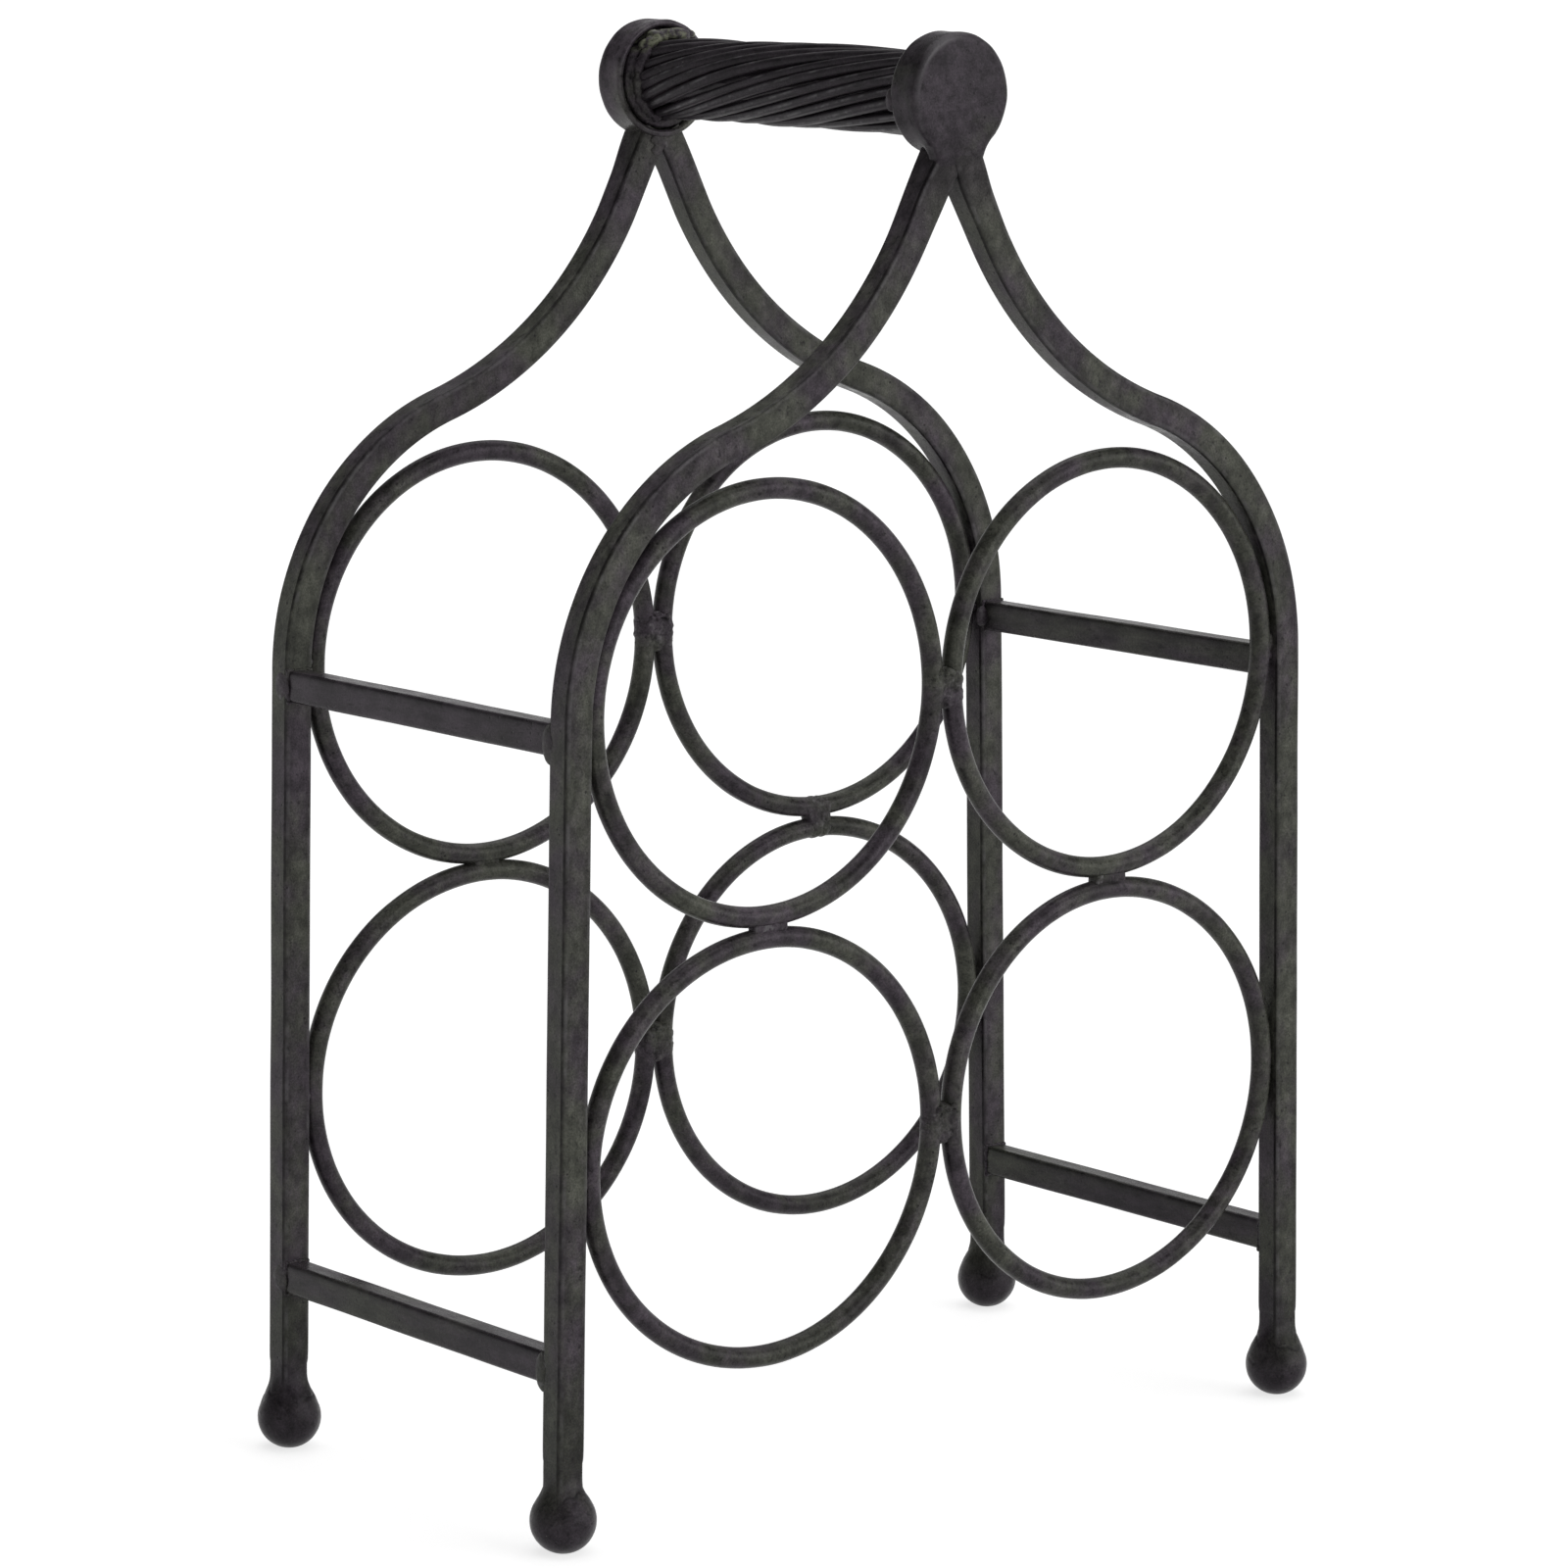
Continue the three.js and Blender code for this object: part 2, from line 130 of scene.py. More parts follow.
NECK_LIFT = 2.2 * MM  # from the underside of the CAD neck to its waist
NECK_WAIST = {"front": 6.75 * MM, "back": 0.0}  # least half width of the neck
NECK_FLARE = {"front": 2.4 * MM, "back": 0.0}  # how far the neck has spread at NECK_FLARE_RUN above its waist
NECK_FLARE_RUN = 5 * MM
NECK_SQUARENESS = 0.3
NECK_BEHIND = 0.4 * MM  # the neck starts this far behind the bars' outer faces
NECK_AHEAD = 0.65 * MM  # and comes forward by this much, to cover their ends
NECK_THICKNESS = 1.6 * MM
CAP_EDGE = 1.7 * MM  # radius of the rounded edge of a cap's face
CAP_DOME = 0.25 * MM
CAP_WALL = 1.7 * MM
CAP_WAIST = 0.08 * MM
CAP_FLOOR = 3 * MM  # thickness under the face
AXIS_HOLE = 0.02 * MM  # keeps a turned mesh from closing on the axis
COLLAR_DEPTH = 4.6 * MM  # how far the weld ring reaches into the cup
COLLAR_ROUND = 1.1 * MM
COLLAR_SUNK = 4.2 * MM  # at the top of the cup
STRAND_STEPS = 110
STRAND_SIDES = 16
STRAND_GAP = 0.02 * MM
STRAND_SUNK = 0.22 * MM
STRAND_LIFT = 0.3 * MM  # how far a strand rises and falls along the handle
STRAND_CREST_HIGHLIGHT = 0.9  # painted highlight, with some rubbed wear, along the top of a strand

# Welds as dressed

WELD_VOXEL = 0.22 * MM
CAP_VOXEL = 0.26 * MM
HANDLE_WELD_VOXEL = 0.24 * MM
LUMP_SIZE = 1.7 * MM
GRIT_SIZE = 0.7 * MM
DROP_SPACING = 0.8 * MM
LEG_WELD_HALF = 2.4 * MM  # half the length of the weld between a ring and an upright
LEG_WELD_RADII = (1.2 * MM, 1.0 * MM, 1.1 * MM)
BAR_WELD_RADII = (0.55 * MM, 0.5 * MM, 0.55 * MM)


# Places read from the frame


def middle(node):
    low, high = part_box(node)
    return (low + high) / 2


def extent(node):
    low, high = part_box(node)
    return high - low


RING_SIZE = extent("front_upper_right_ring")
ROD_RADIUS = RING_SIZE.y / 2
RING_RADIUS = RING_SIZE.x / 2 - ROD_RADIUS
RING_MIDDLE = {tier: middle(f"front_{tier}_right_ring") for tier in TIERS}
COLUMN_X = RING_MIDDLE["upper"].x
FRAME_Y = -RING_MIDDLE["upper"].y
UPPER_Z = RING_MIDDLE["upper"].z
TIER_Z = (RING_MIDDLE["upper"].z + RING_MIDDLE["lower"].z) / 2

UPRIGHT_LOW, UPRIGHT_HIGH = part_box("back_right_upright")
BAR_DEPTH = UPRIGHT_HIGH.y - UPRIGHT_LOW.y
LEG_BASE_Z = UPRIGHT_LOW.z
FOOT_MIDDLE = middle("back_right_foot")
FOOT_SIZE = extent("back_right_foot")
FOOT_BALL = FOOT_SIZE.x / 2 - ROUGHNESS
BALL_Z = math.sqrt(FOOT_BALL**2 - FOOT_FLAT**2)  # middle of the ball
WELD_GAP = LEG_BASE_Z - FOOT_SIZE.z
LEG_X = COLUMN_X + RING_SIZE.x / 2 + WELD_GAP + BAR_WIDTH / 2
LEG_SLOPE = (FOOT_MIDDLE.x - LEG_X) / (UPPER_Z - LEG_BASE_Z)

HANDLE_Z = middle("handle_core").z
HANDLE_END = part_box("handle_core")[1].y
CAP_LOW, CAP_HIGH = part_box("back_handle_cap")
CAP_RADIUS = CAP_HIGH.x - ROUGHNESS
CAP_FACE = CAP_HIGH.y
CAP_MOUTH = CAP_LOW.y
NECK_Z = HANDLE_Z - NECK_DROP
STRAND_NODES = [f"handle_strand_{i + 1:02d}" for i in range(STRAND_COUNT)]
HANDLE_RADIUS = max(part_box(node)[1].z for node in STRAND_NODES) - HANDLE_Z


def leg_x(z):
    """Middle of a right-hand leg at a height below the shoulder."""
    return LEG_X + (UPPER_Z - z) * LEG_SLOPE


# Mesh helpers


def noise_at(points, size, seed):
    """Smooth noise from -1 to 1 at each point, with bumps about size across."""
    shift = Vector((7.31, 3.17, 5.53)) * seed
    return np.array([noise.noise(Vector(p) / size + shift) for p in points])


def smooth_step(value, low, high):
    """From 0 at low to 1 at high, level at both ends."""
    share = np.clip((value - low) / (high - low), 0, 1)
    return share * share * (3 - 2 * share)


def bell(value, centre, width):
    """One at the centre, falling off on both sides."""
    return np.exp(-(((value - centre) / width) ** 2))


def finished(mesh, attributes, sharp=math.radians(38)):
    for name, values in attributes.items():
        layer = mesh.attributes.new(name, "FLOAT", "POINT")
        layer.data.foreach_set("value", np.asarray(values, np.float32).ravel())
    mesh.shade_smooth()
    mesh.set_sharp_from_angle(angle=sharp)
    return mesh


def lofted(name, rows, loop=False, **attributes):
    """Skin over rows of points. Each row is closed, and with loop the last row joins the first."""
    rows = np.asarray(rows, float)
    count, sides = rows.shape[:2]
    i, k = np.meshgrid(np.arange(count if loop else count - 1), np.arange(sides), indexing="ij")
    j = (i + 1) % count
    n = (k + 1) % sides
    quads = np.stack([i * sides + k, i * sides + n, j * sides + n, j * sides + k], -1).reshape(-1, 4)
    faces = quads.tolist()
    if not loop:
        faces.append(list(range(sides))[::-1])
        faces.append(list(range((count - 1) * sides, count * sides)))
    mesh = bpy.data.meshes.new(name)
    mesh.from_pydata(rows.reshape(-1, 3).tolist(), [], faces)
    tidy = bmesh.new()
    tidy.from_mesh(mesh)
    bmesh.ops.recalc_face_normals(tidy, faces=tidy.faces)
    tidy.to_mesh(mesh)
    tidy.free()
    return finished(mesh, {key: np.broadcast_to(share, (count, sides)) for key, share in attributes.items()})


def remeshed(name, parts, voxel, rounds):
    """One closed skin round overlapping closed parts, with its seams smoothed over."""
    raw = bpy.data.meshes.new(name + "_raw")
    joined = bmesh.new()
    for part in parts:
        joined.from_mesh(part)
    joined.to_mesh(raw)
    joined.free()
    carrier = bpy.data.objects.new(name + "_raw", raw)
    bpy.context.scene.collection.objects.link(carrier)
    remesh = carrier.modifiers.new("skin", "REMESH")
    remesh.mode = "VOXEL"
    remesh.voxel_size = voxel
    smooth = carrier.modifiers.new("smooth", "SMOOTH")
    smooth.factor = 0.5
    smooth.iterations = rounds
    graph = bpy.context.evaluated_depsgraph_get()
    mesh = bpy.data.meshes.new_from_object(carrier.evaluated_get(graph))
    mesh.name = name
    bpy.data.objects.remove(carrier)
    bpy.data.meshes.remove(raw)
    for part in parts:
        bpy.data.meshes.remove(part)
    return mesh


def read_vectors(mesh, key):
    values = np.empty(len(mesh.vertices) * 3, np.float32)
    mesh.vertices.foreach_get(key, values)
    return values.reshape(-1, 3).astype(float)


def points_of(mesh):
    return read_vectors(mesh, "co")


def move_points(mesh, points):
    mesh.vertices.foreach_set("co", points.astype(np.float32).ravel())
    mesh.update()


def roughened(mesh, depth, size, seed):
    """Pushes the skin in and out along its normals by smooth noise."""
    points = points_of(mesh)
    push = depth * noise_at(points, size, seed)
    move_points(mesh, points + read_vectors(mesh, "normal") * push[:, None])


def blob(centre, radii):
    mesh = bpy.data.meshes.new("blob")
    ball = bmesh.new()
    place = Matrix.Translation(Vector(centre)) @ Matrix.Diagonal((*radii, 1))
    bmesh.ops.create_icosphere(ball, subdivisions=3, radius=1, matrix=place)
    ball.to_mesh(mesh)
    ball.free()
    return mesh


def piece(name, mesh, material, slot, *nodes):
    obj = bpy.data.objects.new(f"iron_{name}", mesh)
    bpy.context.scene.collection.objects.link(obj)
    mesh.materials.clear()
    mesh.materials.append(material)
    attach(obj, ROOT)
    if nodes:
        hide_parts(*nodes)


# Material


def fill(tree, node, inputs):
    """Sets a node's inputs, or links those that are given another node's output."""
    for key, value in inputs.items():
        if hasattr(value, "is_linked"):
            tree.links.new(value, node.inputs[key])
        else:
            node.inputs[key].default_value = value


def add_node(tree, kind, output, inputs, **settings):
    """Adds a node with these inputs, and gives its output of this name."""
    node = tree.nodes.new(kind)
    for key, value in settings.items():
        setattr(node, key, value)
    fill(tree, node, inputs)
    return node.outputs[output] if output else None


class Nodes:
    """Short names for building one material's node tree."""

    def __init__(self, name):
        self.material = bpy.data.materials.new(name)
        self.material.use_nodes = True
        self.tree = self.material.node_tree
        self.shader = self.tree.nodes["Principled BSDF"]
        self.place = self.add("ShaderNodeTexCoord", "Object", {})

    def add(self, kind, output, inputs, **settings):
        return add_node(self.tree, kind, output, inputs, **settings)

    def stretched(self, scale):
        return self.add("ShaderNodeMapping", "Vector", {"Vector": self.place, "Scale": scale})

    def height(self):
        return self.add("ShaderNodeSeparateXYZ", "Z", {"Vector": self.place})

    def noise(self, size, detail, roughness, place=None):
        inputs = {"Vector": place or self.place, "Scale": 1 / size, "Detail": detail, "Roughness": roughness}
        return self.add("ShaderNodeTexNoise", "Fac", inputs)

    def cells(self, size):
        return self.add("ShaderNodeTexVoronoi", "Distance", {"Vector": self.place, "Scale": 1 / size})

    def ramp(self, value, low, high, start=0.0, end=1.0):
        inputs = {"Value": value, "From Min": low, "From Max": high, "To Min": start, "To Max": end}
        return self.add("ShaderNodeMapRange", "Result", inputs, interpolation_type="SMOOTHSTEP")

    def math(self, operation, a, b):
        return self.add("ShaderNodeMath", "Value", {0: a, 1: b}, operation=operation)

    def times(self, product, *others):
        for other in others:
            product = self.math("MULTIPLY", product, other)
        return product

    def mix(self, share, a, b):
        return self.add("ShaderNodeMix", "Result", {"Factor": share, "A": a, "B": b}, data_type="RGBA")

    def scaled(self, colour, share):
        return self.add("ShaderNodeVectorMath", "Vector", {0: colour, "Scale": share}, operation="SCALE")

    def attribute(self, name):
        return self.add("ShaderNodeAttribute", "Fac", {}, attribute_name=name)

    def bump(self, height, distance, strength):
        inputs = {"Height": height, "Distance": distance, "Strength": strength}
        return self.add("ShaderNodeBump", "Normal", inputs)


def srgb(red, green, blue):
    """Linear colour of an sRGB one written from 0 to 255."""
    scaled = [c / 255 for c in (red, green, blue)]
    return (*[c / 12.92 if c <= 0.04045 else ((c + 0.055) / 1.055) ** 2.4 for c in scaled], 1)


OLIVE = srgb(70, 71, 64)
PURPLE = srgb(65, 59, 65)
# Soot, also used as painted shade by corners and in recesses.
SOOT_AND_SHADE = srgb(22, 20, 22)
PALE = srgb(132, 132, 128)
# Rubbed metal, also used as painted highlight on edges.
WORN_AND_HIGHLIGHT = srgb(118, 116, 118)
# Lichen, made paler than it is so that it also stands in for the light on the heap's top.
LICHEN = srgb(128, 131, 110)

CLOUD_SIZE = 16 * MM
PATCH_SIZE = 11 * MM
MOTTLE_SIZE = 3 * MM
GRAIN_SIZE = 0.5 * MM
STAIN_SIZE = 7 * MM
SMUDGE_SIZE = 1.7 * MM
SPECK_SIZE = 1.3 * MM
PIT_SIZE = 2.1 * MM
LICHEN_SIZE = 2.2 * MM
OLIVE_FROM = (5 * MM, 15 * MM)  # heights between which the feet turn from purple to olive
DARKER_BELOW = (6 * MM, 60 * MM)  # heights between which the legs are darker
DARKER_BELOW_TONE = 0.55
RELIEF_DEPTH = 0.3 * MM
METALLIC = 0.15
SPECULAR = 0.12

ALONG_LEG = (1, 1, 0.75)
ALONG_HANDLE = (1, 0.3, 1)
EVEN = (1, 1, 1)


def clouded(n, mottle, grain, tone, olive_from, streak, cap_shade):
    """Olive clouds on purple, mottled, darker towards the floor, and with painted shade under the caps, where
    the bars are darker and less olive.
    """
    clouds = n.noise(CLOUD_SIZE, 4, 0.6, n.stretched(streak))
    raised = n.ramp(n.height(), *OLIVE_FROM)
    # Painted shade: darker and less olive towards the underside of the caps.
    top = n.ramp(n.height(), NECK_Z - CROSSING_RUN, NECK_Z + 2 * MM, 1.0, cap_shade)
    olive = n.times(n.ramp(clouds, olive_from, olive_from + 0.25), raised, n.math("POWER", top, 3.0))
    colour = n.mix(olive, PURPLE, OLIVE)
    shade = n.times(n.ramp(mottle, 0.3, 0.72, 0.64, 1.36), n.ramp(grain, 0.28, 0.75, 0.68, 1.34))
    patches = n.ramp(n.noise(PATCH_SIZE, 3, 0.5), 0.35, 0.65, 0.86, 1.14)
    darker_low = n.ramp(n.height(), *DARKER_BELOW, DARKER_BELOW_TONE * tone, tone)
    return n.scaled(colour, n.times(shade, patches, darker_low, top))


def stained(n, colour, streak, stain):
    """Broad stains and small smudges of soot."""
    stains = n.noise(STAIN_SIZE, 5, 0.7, n.stretched(streak))
    colour = n.mix(n.ramp(stains, 0.5, 0.7, 0.0, stain), colour, SOOT_AND_SHADE)
    smudges = n.noise(SMUDGE_SIZE, 4, 0.7, n.stretched(streak))
    return n.mix(n.ramp(smudges, 0.42, 0.3, 0.0, 0.75), colour, SOOT_AND_SHADE)


def spots(n, size, reach, spread, rarity):
    """Round spots about size apart, only in patches about spread across."""
    return n.times(n.ramp(n.cells(size), *reach), n.ramp(n.noise(spread, 2, 0.5), *rarity))


def soot_wear_and_painted_light(n, colour):
    """Soot and painted shade by the groove share, rubbed metal and painted highlights by the edge share, both
    broken up. Gives that lighter share too.
    """
    broken = n.ramp(n.noise(4 * MM, 4, 0.65), 0.36, 0.6, 0.35, 1.0)
    colour = n.mix(n.times(n.attribute("groove"), broken, 0.85), colour, SOOT_AND_SHADE)
    wear_and_highlight = n.times(n.attribute("edge"), n.ramp(n.noise(5 * MM, 3, 0.6), 0.42, 0.66, 0.05, 0.8))
    wear_and_highlight = n.math("MAXIMUM", wear_and_highlight, n.attribute("painted_highlight"))
    return n.mix(wear_and_highlight, colour, WORN_AND_HIGHLIGHT), wear_and_highlight


def iron_material(
    name, tone, olive_from, roughness, streak=EVEN, stain=0.25, lichen=0.0, relief=0.4, cap_shade=1.0
):
    """Patinated iron: olive and purple clouds, stains, pale specks, dark pits, rubbed edges, and painted
    shade and painted highlights by corners and edges.
    """
    n = Nodes(name)
    mottle = n.noise(MOTTLE_SIZE, 5, 0.62, n.stretched(streak))
    grain = n.noise(GRAIN_SIZE, 3, 0.65)
    colour = clouded(n, mottle, grain, tone, olive_from, streak, cap_shade)
    if lichen:
        patches = n.ramp(n.noise(LICHEN_SIZE, 3, 0.6), 0.4, 0.6, 0.0, lichen)
        colour = n.mix(n.times(patches, n.attribute("lichen")), colour, LICHEN)
    colour = stained(n, colour, streak, stain)
    specks = spots(n, SPECK_SIZE, (0.15, 0.07), 6 * MM, (0.58, 0.68))
    colour = n.mix(n.times(specks, 0.4), colour, PALE)
    pits = spots(n, PIT_SIZE, (0.2, 0.1), 8 * MM, (0.53, 0.64))
    colour = n.mix(n.times(pits, 0.8), colour, SOOT_AND_SHADE)
    colour, wear_and_highlight = soot_wear_and_painted_light(n, colour)
    gloss = n.ramp(mottle, 0.3, 0.7, roughness - 0.07, roughness + 0.1)
    gloss = n.math("SUBTRACT", gloss, n.times(wear_and_highlight, 0.08))
    height = n.math("ADD", n.times(mottle, 0.6), n.times(grain, 0.4))
    height = n.math("SUBTRACT", height, n.times(pits, 0.5))
    bumps = n.bump(height, RELIEF_DEPTH, relief)
    fill(n.tree, n.shader, {"Base Color": colour, "Roughness": gloss, "Normal": bumps})
    fill(n.tree, n.shader, {"Metallic": METALLIC, "Specular IOR Level": SPECULAR})
    return n.material


# Uprights


def bar_quarter(half_across, half_through, corner, line):
    """A quarter of a bar's outline, from its side to its front, with shares of painted highlight with some
    wear, and of painted shade.
    """
    points = []
    flat = half_through - corner
    for share in (0.3, 0.7):
        points.append((half_across, flat * share, 0, 0))
    points.append((half_across, flat - 0.15 * MM, 0, 0))
    for angle in range(0, 91, 18):
        turn = math.radians(angle)
        sunk = line if angle == 18 else 0
        x = half_across - corner * (1 - math.cos(turn)) - sunk * math.cos(turn)
        y = half_through - corner * (1 - math.sin(turn)) - sunk * math.sin(turn)
        # Painted shade on the fine line at the side of the corner, then painted highlight with some wear,
        # mixed with lighter painted shade, over the rest of the rounding; plain corners get painted shade
        # growing towards the front.
        if line:
            wear_and_highlight, soot = (0, 0.95) if angle <= 36 else (0.4, 0.4)
        else:
            wear_and_highlight, soot = 0, 0.7 * math.sin(turn)
        points.append((x, y, wear_and_highlight, soot))
    # Painted shade fading out over a band of the front face beside the corner.
    for share in (0.3, 0.65, 1.0):
        points.append((half_across - corner - CORNER_BAND * share, half_through, 0, 0.5 * (1 - share)))
    return points


def bar_section(across, through, corner, line=0):
    """Outline of a rolled bar, with painted shade by its corners, and a line of this depth in the shade."""
    quarter = np.array(bar_quarter(across / 2, through / 2, corner, line))
    flip_x = np.array((-1, 1, 1, 1))
    flip_y = np.array((1, -1, 1, 1))
    back = quarter[::-1]
    return np.concatenate([quarter, back * flip_x, quarter * flip_x * flip_y, back * flip_y])


UPRIGHT_SECTION = bar_section(BAR_WIDTH, BAR_DEPTH, UPRIGHT_CORNER, CORNER_LINE)


def head_drift(z):
    """Sideways drift of the hand-bent bars, from nothing at the upper rings to all of it at the neck."""
    return HEAD_DRIFT * np.clip((z - UPPER_Z) / (NECK_Z - UPPER_Z), 0, 1)


def head_swell(z):
    """How far the outer faces of the bars have come forward at each height."""
    return HEAD_SWELL * smooth_step(z, NECK_Z - SWELL_RUN, NECK_Z + SWELL_RUN)


def head_widening(end, heights, across):
    """How far each point of the section moves out as the bar spreads under the cap."""
    spread = np.where(across > 0, HEAD_WIDER, FORK_WIDER[end]) * 2 * across / BAR_WIDTH
    return smooth_step(heights, NECK_Z - WIDER_RUN, NECK_Z) * spread


def upright_path():
    """Middle line of a right-hand upright as rows of x, z and angle from upright."""
    lean = math.atan(LEG_SLOPE)
    bends_across = SHOULDER_RADIUS * math.cos(lean) + THROAT_RADIUS * math.cos(HEAD_LEAN)
    bends_up = SHOULDER_RADIUS * math.sin(lean) + THROAT_RADIUS * math.sin(HEAD_LEAN)
    across = HEAD_X - LEG_X + bends_across
    up = NECK_Z - UPPER_Z + bends_up
    reach = across * math.cos(HEAD_LEAN) + up * math.sin(HEAD_LEAN)
    turn = HEAD_LEAN + math.acos(reach / (SHOULDER_RADIUS + THROAT_RADIUS))
    tucked = LEG_BASE_Z - np.linspace(*BAR_TUCK, 5)
    leg = np.linspace(LEG_BASE_Z, UPPER_Z, round((UPPER_Z - LEG_BASE_Z) / BAR_STEP))[:-1]
    rows = [(leg_x(z), z, lean) for z in (*tucked, *leg)]
    steps = round(SHOULDER_RADIUS * (turn - lean) / BAR_STEP)
    for angle in np.linspace(lean, turn, steps, endpoint=False):
        x = LEG_X - SHOULDER_RADIUS * (math.cos(lean) - math.cos(angle))
        z = UPPER_Z + SHOULDER_RADIUS * (math.sin(angle) - math.sin(lean))
        rows.append((x, z, angle))
    bend_x = LEG_X - SHOULDER_RADIUS * (math.cos(lean) - math.cos(turn))
    bend_z = UPPER_Z + SHOULDER_RADIUS * (math.sin(turn) - math.sin(lean))
    steps = round(THROAT_RADIUS * (turn - HEAD_LEAN) / BAR_STEP)
    for angle in np.linspace(turn, HEAD_LEAN, steps, endpoint=False):
        x = bend_x - THROAT_RADIUS * (math.cos(angle) - math.cos(turn))
        z = bend_z + THROAT_RADIUS * (math.sin(turn) - math.sin(angle))
        rows.append((x, z, angle))
    run_x = bend_x - THROAT_RADIUS * (math.cos(HEAD_LEAN) - math.cos(turn))
    run_z = bend_z + THROAT_RADIUS * (math.sin(turn) - math.sin(HEAD_LEAN))
    run = (NECK_Z - run_z) / math.cos(HEAD_LEAN) + HEAD_RUN
    for along in np.linspace(0, run, round(run / BAR_STEP) + 1):
        rows.append((run_x - along * math.sin(HEAD_LEAN), run_z + along * math.cos(HEAD_LEAN), HEAD_LEAN))
    return np.array(rows)


def hand_forged(rows, depth, seed):
    """Slight waviness of a hammered bar, along and across it."""
    flat = rows.reshape(-1, 3)
    for axis, size in enumerate(WAVE_LENGTHS):
        flat[:, axis] += depth * noise_at(flat, size, seed + axis)
    return flat.reshape(rows.shape)


def make_upright(end, side, material, seed):
    path = upright_path()
    middle_x, middle_z, angle = path[:, 0:1], path[:, 1:2], path[:, 2:3]
    section = UPRIGHT_SECTION
    size = 1 - END_TAPER * np.exp(-(middle_z - path[0, 1]) / END_TAPER_RUN)
    across = section[None, :, 0] * size + head_widening(end, middle_z, section[:, 0])
    x = middle_x + np.cos(angle) * across
    z = middle_z + np.sin(angle) * across
    y = section[None, :, 1] * size
    over = np.clip((middle_z - (NECK_Z - CROSSING_RUN)) / CROSSING_RUN, 0, 1)
    y = y - over * CROSSING_STEP * SIDES[side] * ENDS[end] + head_swell(z) * np.clip(2 * y / BAR_DEPTH, 0, 1)
    rows = np.stack([SIDES[side] * x + head_drift(z), ENDS[end] * (FRAME_Y + y), z], -1)
    rows = hand_forged(rows, UPRIGHT_WAVE, seed)
    name = f"{end}_{side}_upright"
    mesh = lofted(name, rows, edge=section[:, 2], groove=section[:, 3])
    piece(name, mesh, material, "bar_iron", name)


# Feet


def evenly_turned(section, count):
    """The same outline with its points at even angles, for turning into a ball."""
    share = np.linspace(0, 1, 8, endpoint=False)[:, None, None]
    following = np.roll(section, -1, axis=0)
    dense = (section[None] * (1 - share) + following[None] * share).reshape(-1, 4)
    angles = np.arctan2(dense[:, 1], dense[:, 0])
    order = np.argsort(angles)
    dense = dense[order]
    around = np.linspace(-math.pi, math.pi, count, endpoint=False)
    columns = [np.interp(around, angles[order], dense[:, k], period=2 * math.pi) for k in range(4)]
    return np.stack(columns, -1)


def foot_radius(levels, flare):
    """Radius at each level: a ball with a flat, then a bell-shaped flare up to the neck."""
    low, high = flare
    ball = np.sqrt(FOOT_BALL**2 - np.minimum(np.abs(levels - BALL_Z), 0.99 * FOOT_BALL) ** 2)
    start = math.sqrt(FOOT_BALL**2 - (low - BALL_Z) ** 2)
    start_slope = -(low - BALL_Z) / start * (high - low)
    end_slope = FLARE_END_SLOPE * (high - low)
    t = np.clip((levels - low) / (high - low), 0, 1)
    curve = start + (FOOT_NECK - start) * smooth_step(levels, low, high)
    curve += start_slope * t * (1 - t) ** 2 - end_slope * t * t * (1 - t)
    return np.where(levels < low, ball, curve)


def foot_rows(flare):
    """Rows of points from the floor up, from a ball to the outline of the bar."""
    section = evenly_turned(UPRIGHT_SECTION, FOOT_SIDES)
    angles = np.arctan2(section[:, 1], section[:, 0])
    below = np.linspace(math.asin(BALL_Z / FOOT_BALL), 0, 26, endpoint=False)
    levels = np.append(BALL_Z - FOOT_BALL * np.sin(below), np.linspace(BALL_Z, FOOT_SIZE.z, 60))
    share = 1 - smooth_step(levels, SQUARE_FROM, flare[1] + SQUARE_PAST)[:, None, None]
    circle = np.stack([np.cos(angles), np.sin(angles)], -1)
    ball = circle[None] * foot_radius(levels, flare)[:, None, None]
    mixed = NECK_SHARE * section[None, :, :2] * (1 - share) + ball * share
    z = np.broadcast_to(levels[:, None], mixed.shape[:2])
    rows = np.concatenate([mixed, z[..., None]], -1)
    # The corners' painted shade and painted highlight fade out down into the ball.
    fade = 1 - share[..., 0]
    return rows, section[None, :, 2] * fade, section[None, :, 3] * fade, angles


def forging_folds(rows, angles, seed):
    """Zigzag creases where the bar was upset into the ball, and small dents. Gives the creases' soot."""
    chance = random.Random(seed)
    flat = rows.reshape(-1, 3)
    z = rows[..., 2]
    fold = np.zeros(z.shape)
    for level, depth in FOLDS:
        phase = chance.uniform(0, 6.28)
        wave = 0.9 * np.sin(3 * angles + phase) + 0.55 * np.sin(7 * angles + 2.3 * phase)
        reach = np.clip(0.15 + np.sin(2 * angles + phase * 1.7), 0, 1)
        fold += depth * reach * bell(z, level + wave * MM, FOLD_WIDTH)
    dents = 0.05 * noise_at(flat, 4.5 * MM, seed + 5) + 0.03 * noise_at(flat, 1.2 * MM, seed + 9)
    weight = np.clip((17.5 * MM - z) / (4 * MM), 0, 1) * np.clip(z / (1.5 * MM), 0, 1)
    push = (dents.reshape(z.shape) * MM - fold) * weight
    radial = rows[..., :2] / np.maximum(np.linalg.norm(rows[..., :2], axis=-1, keepdims=True), 1e-6)
    rows[..., :2] += radial * push[..., None]
    return np.clip(fold * weight / DEEPEST_FOLD, 0, 1)


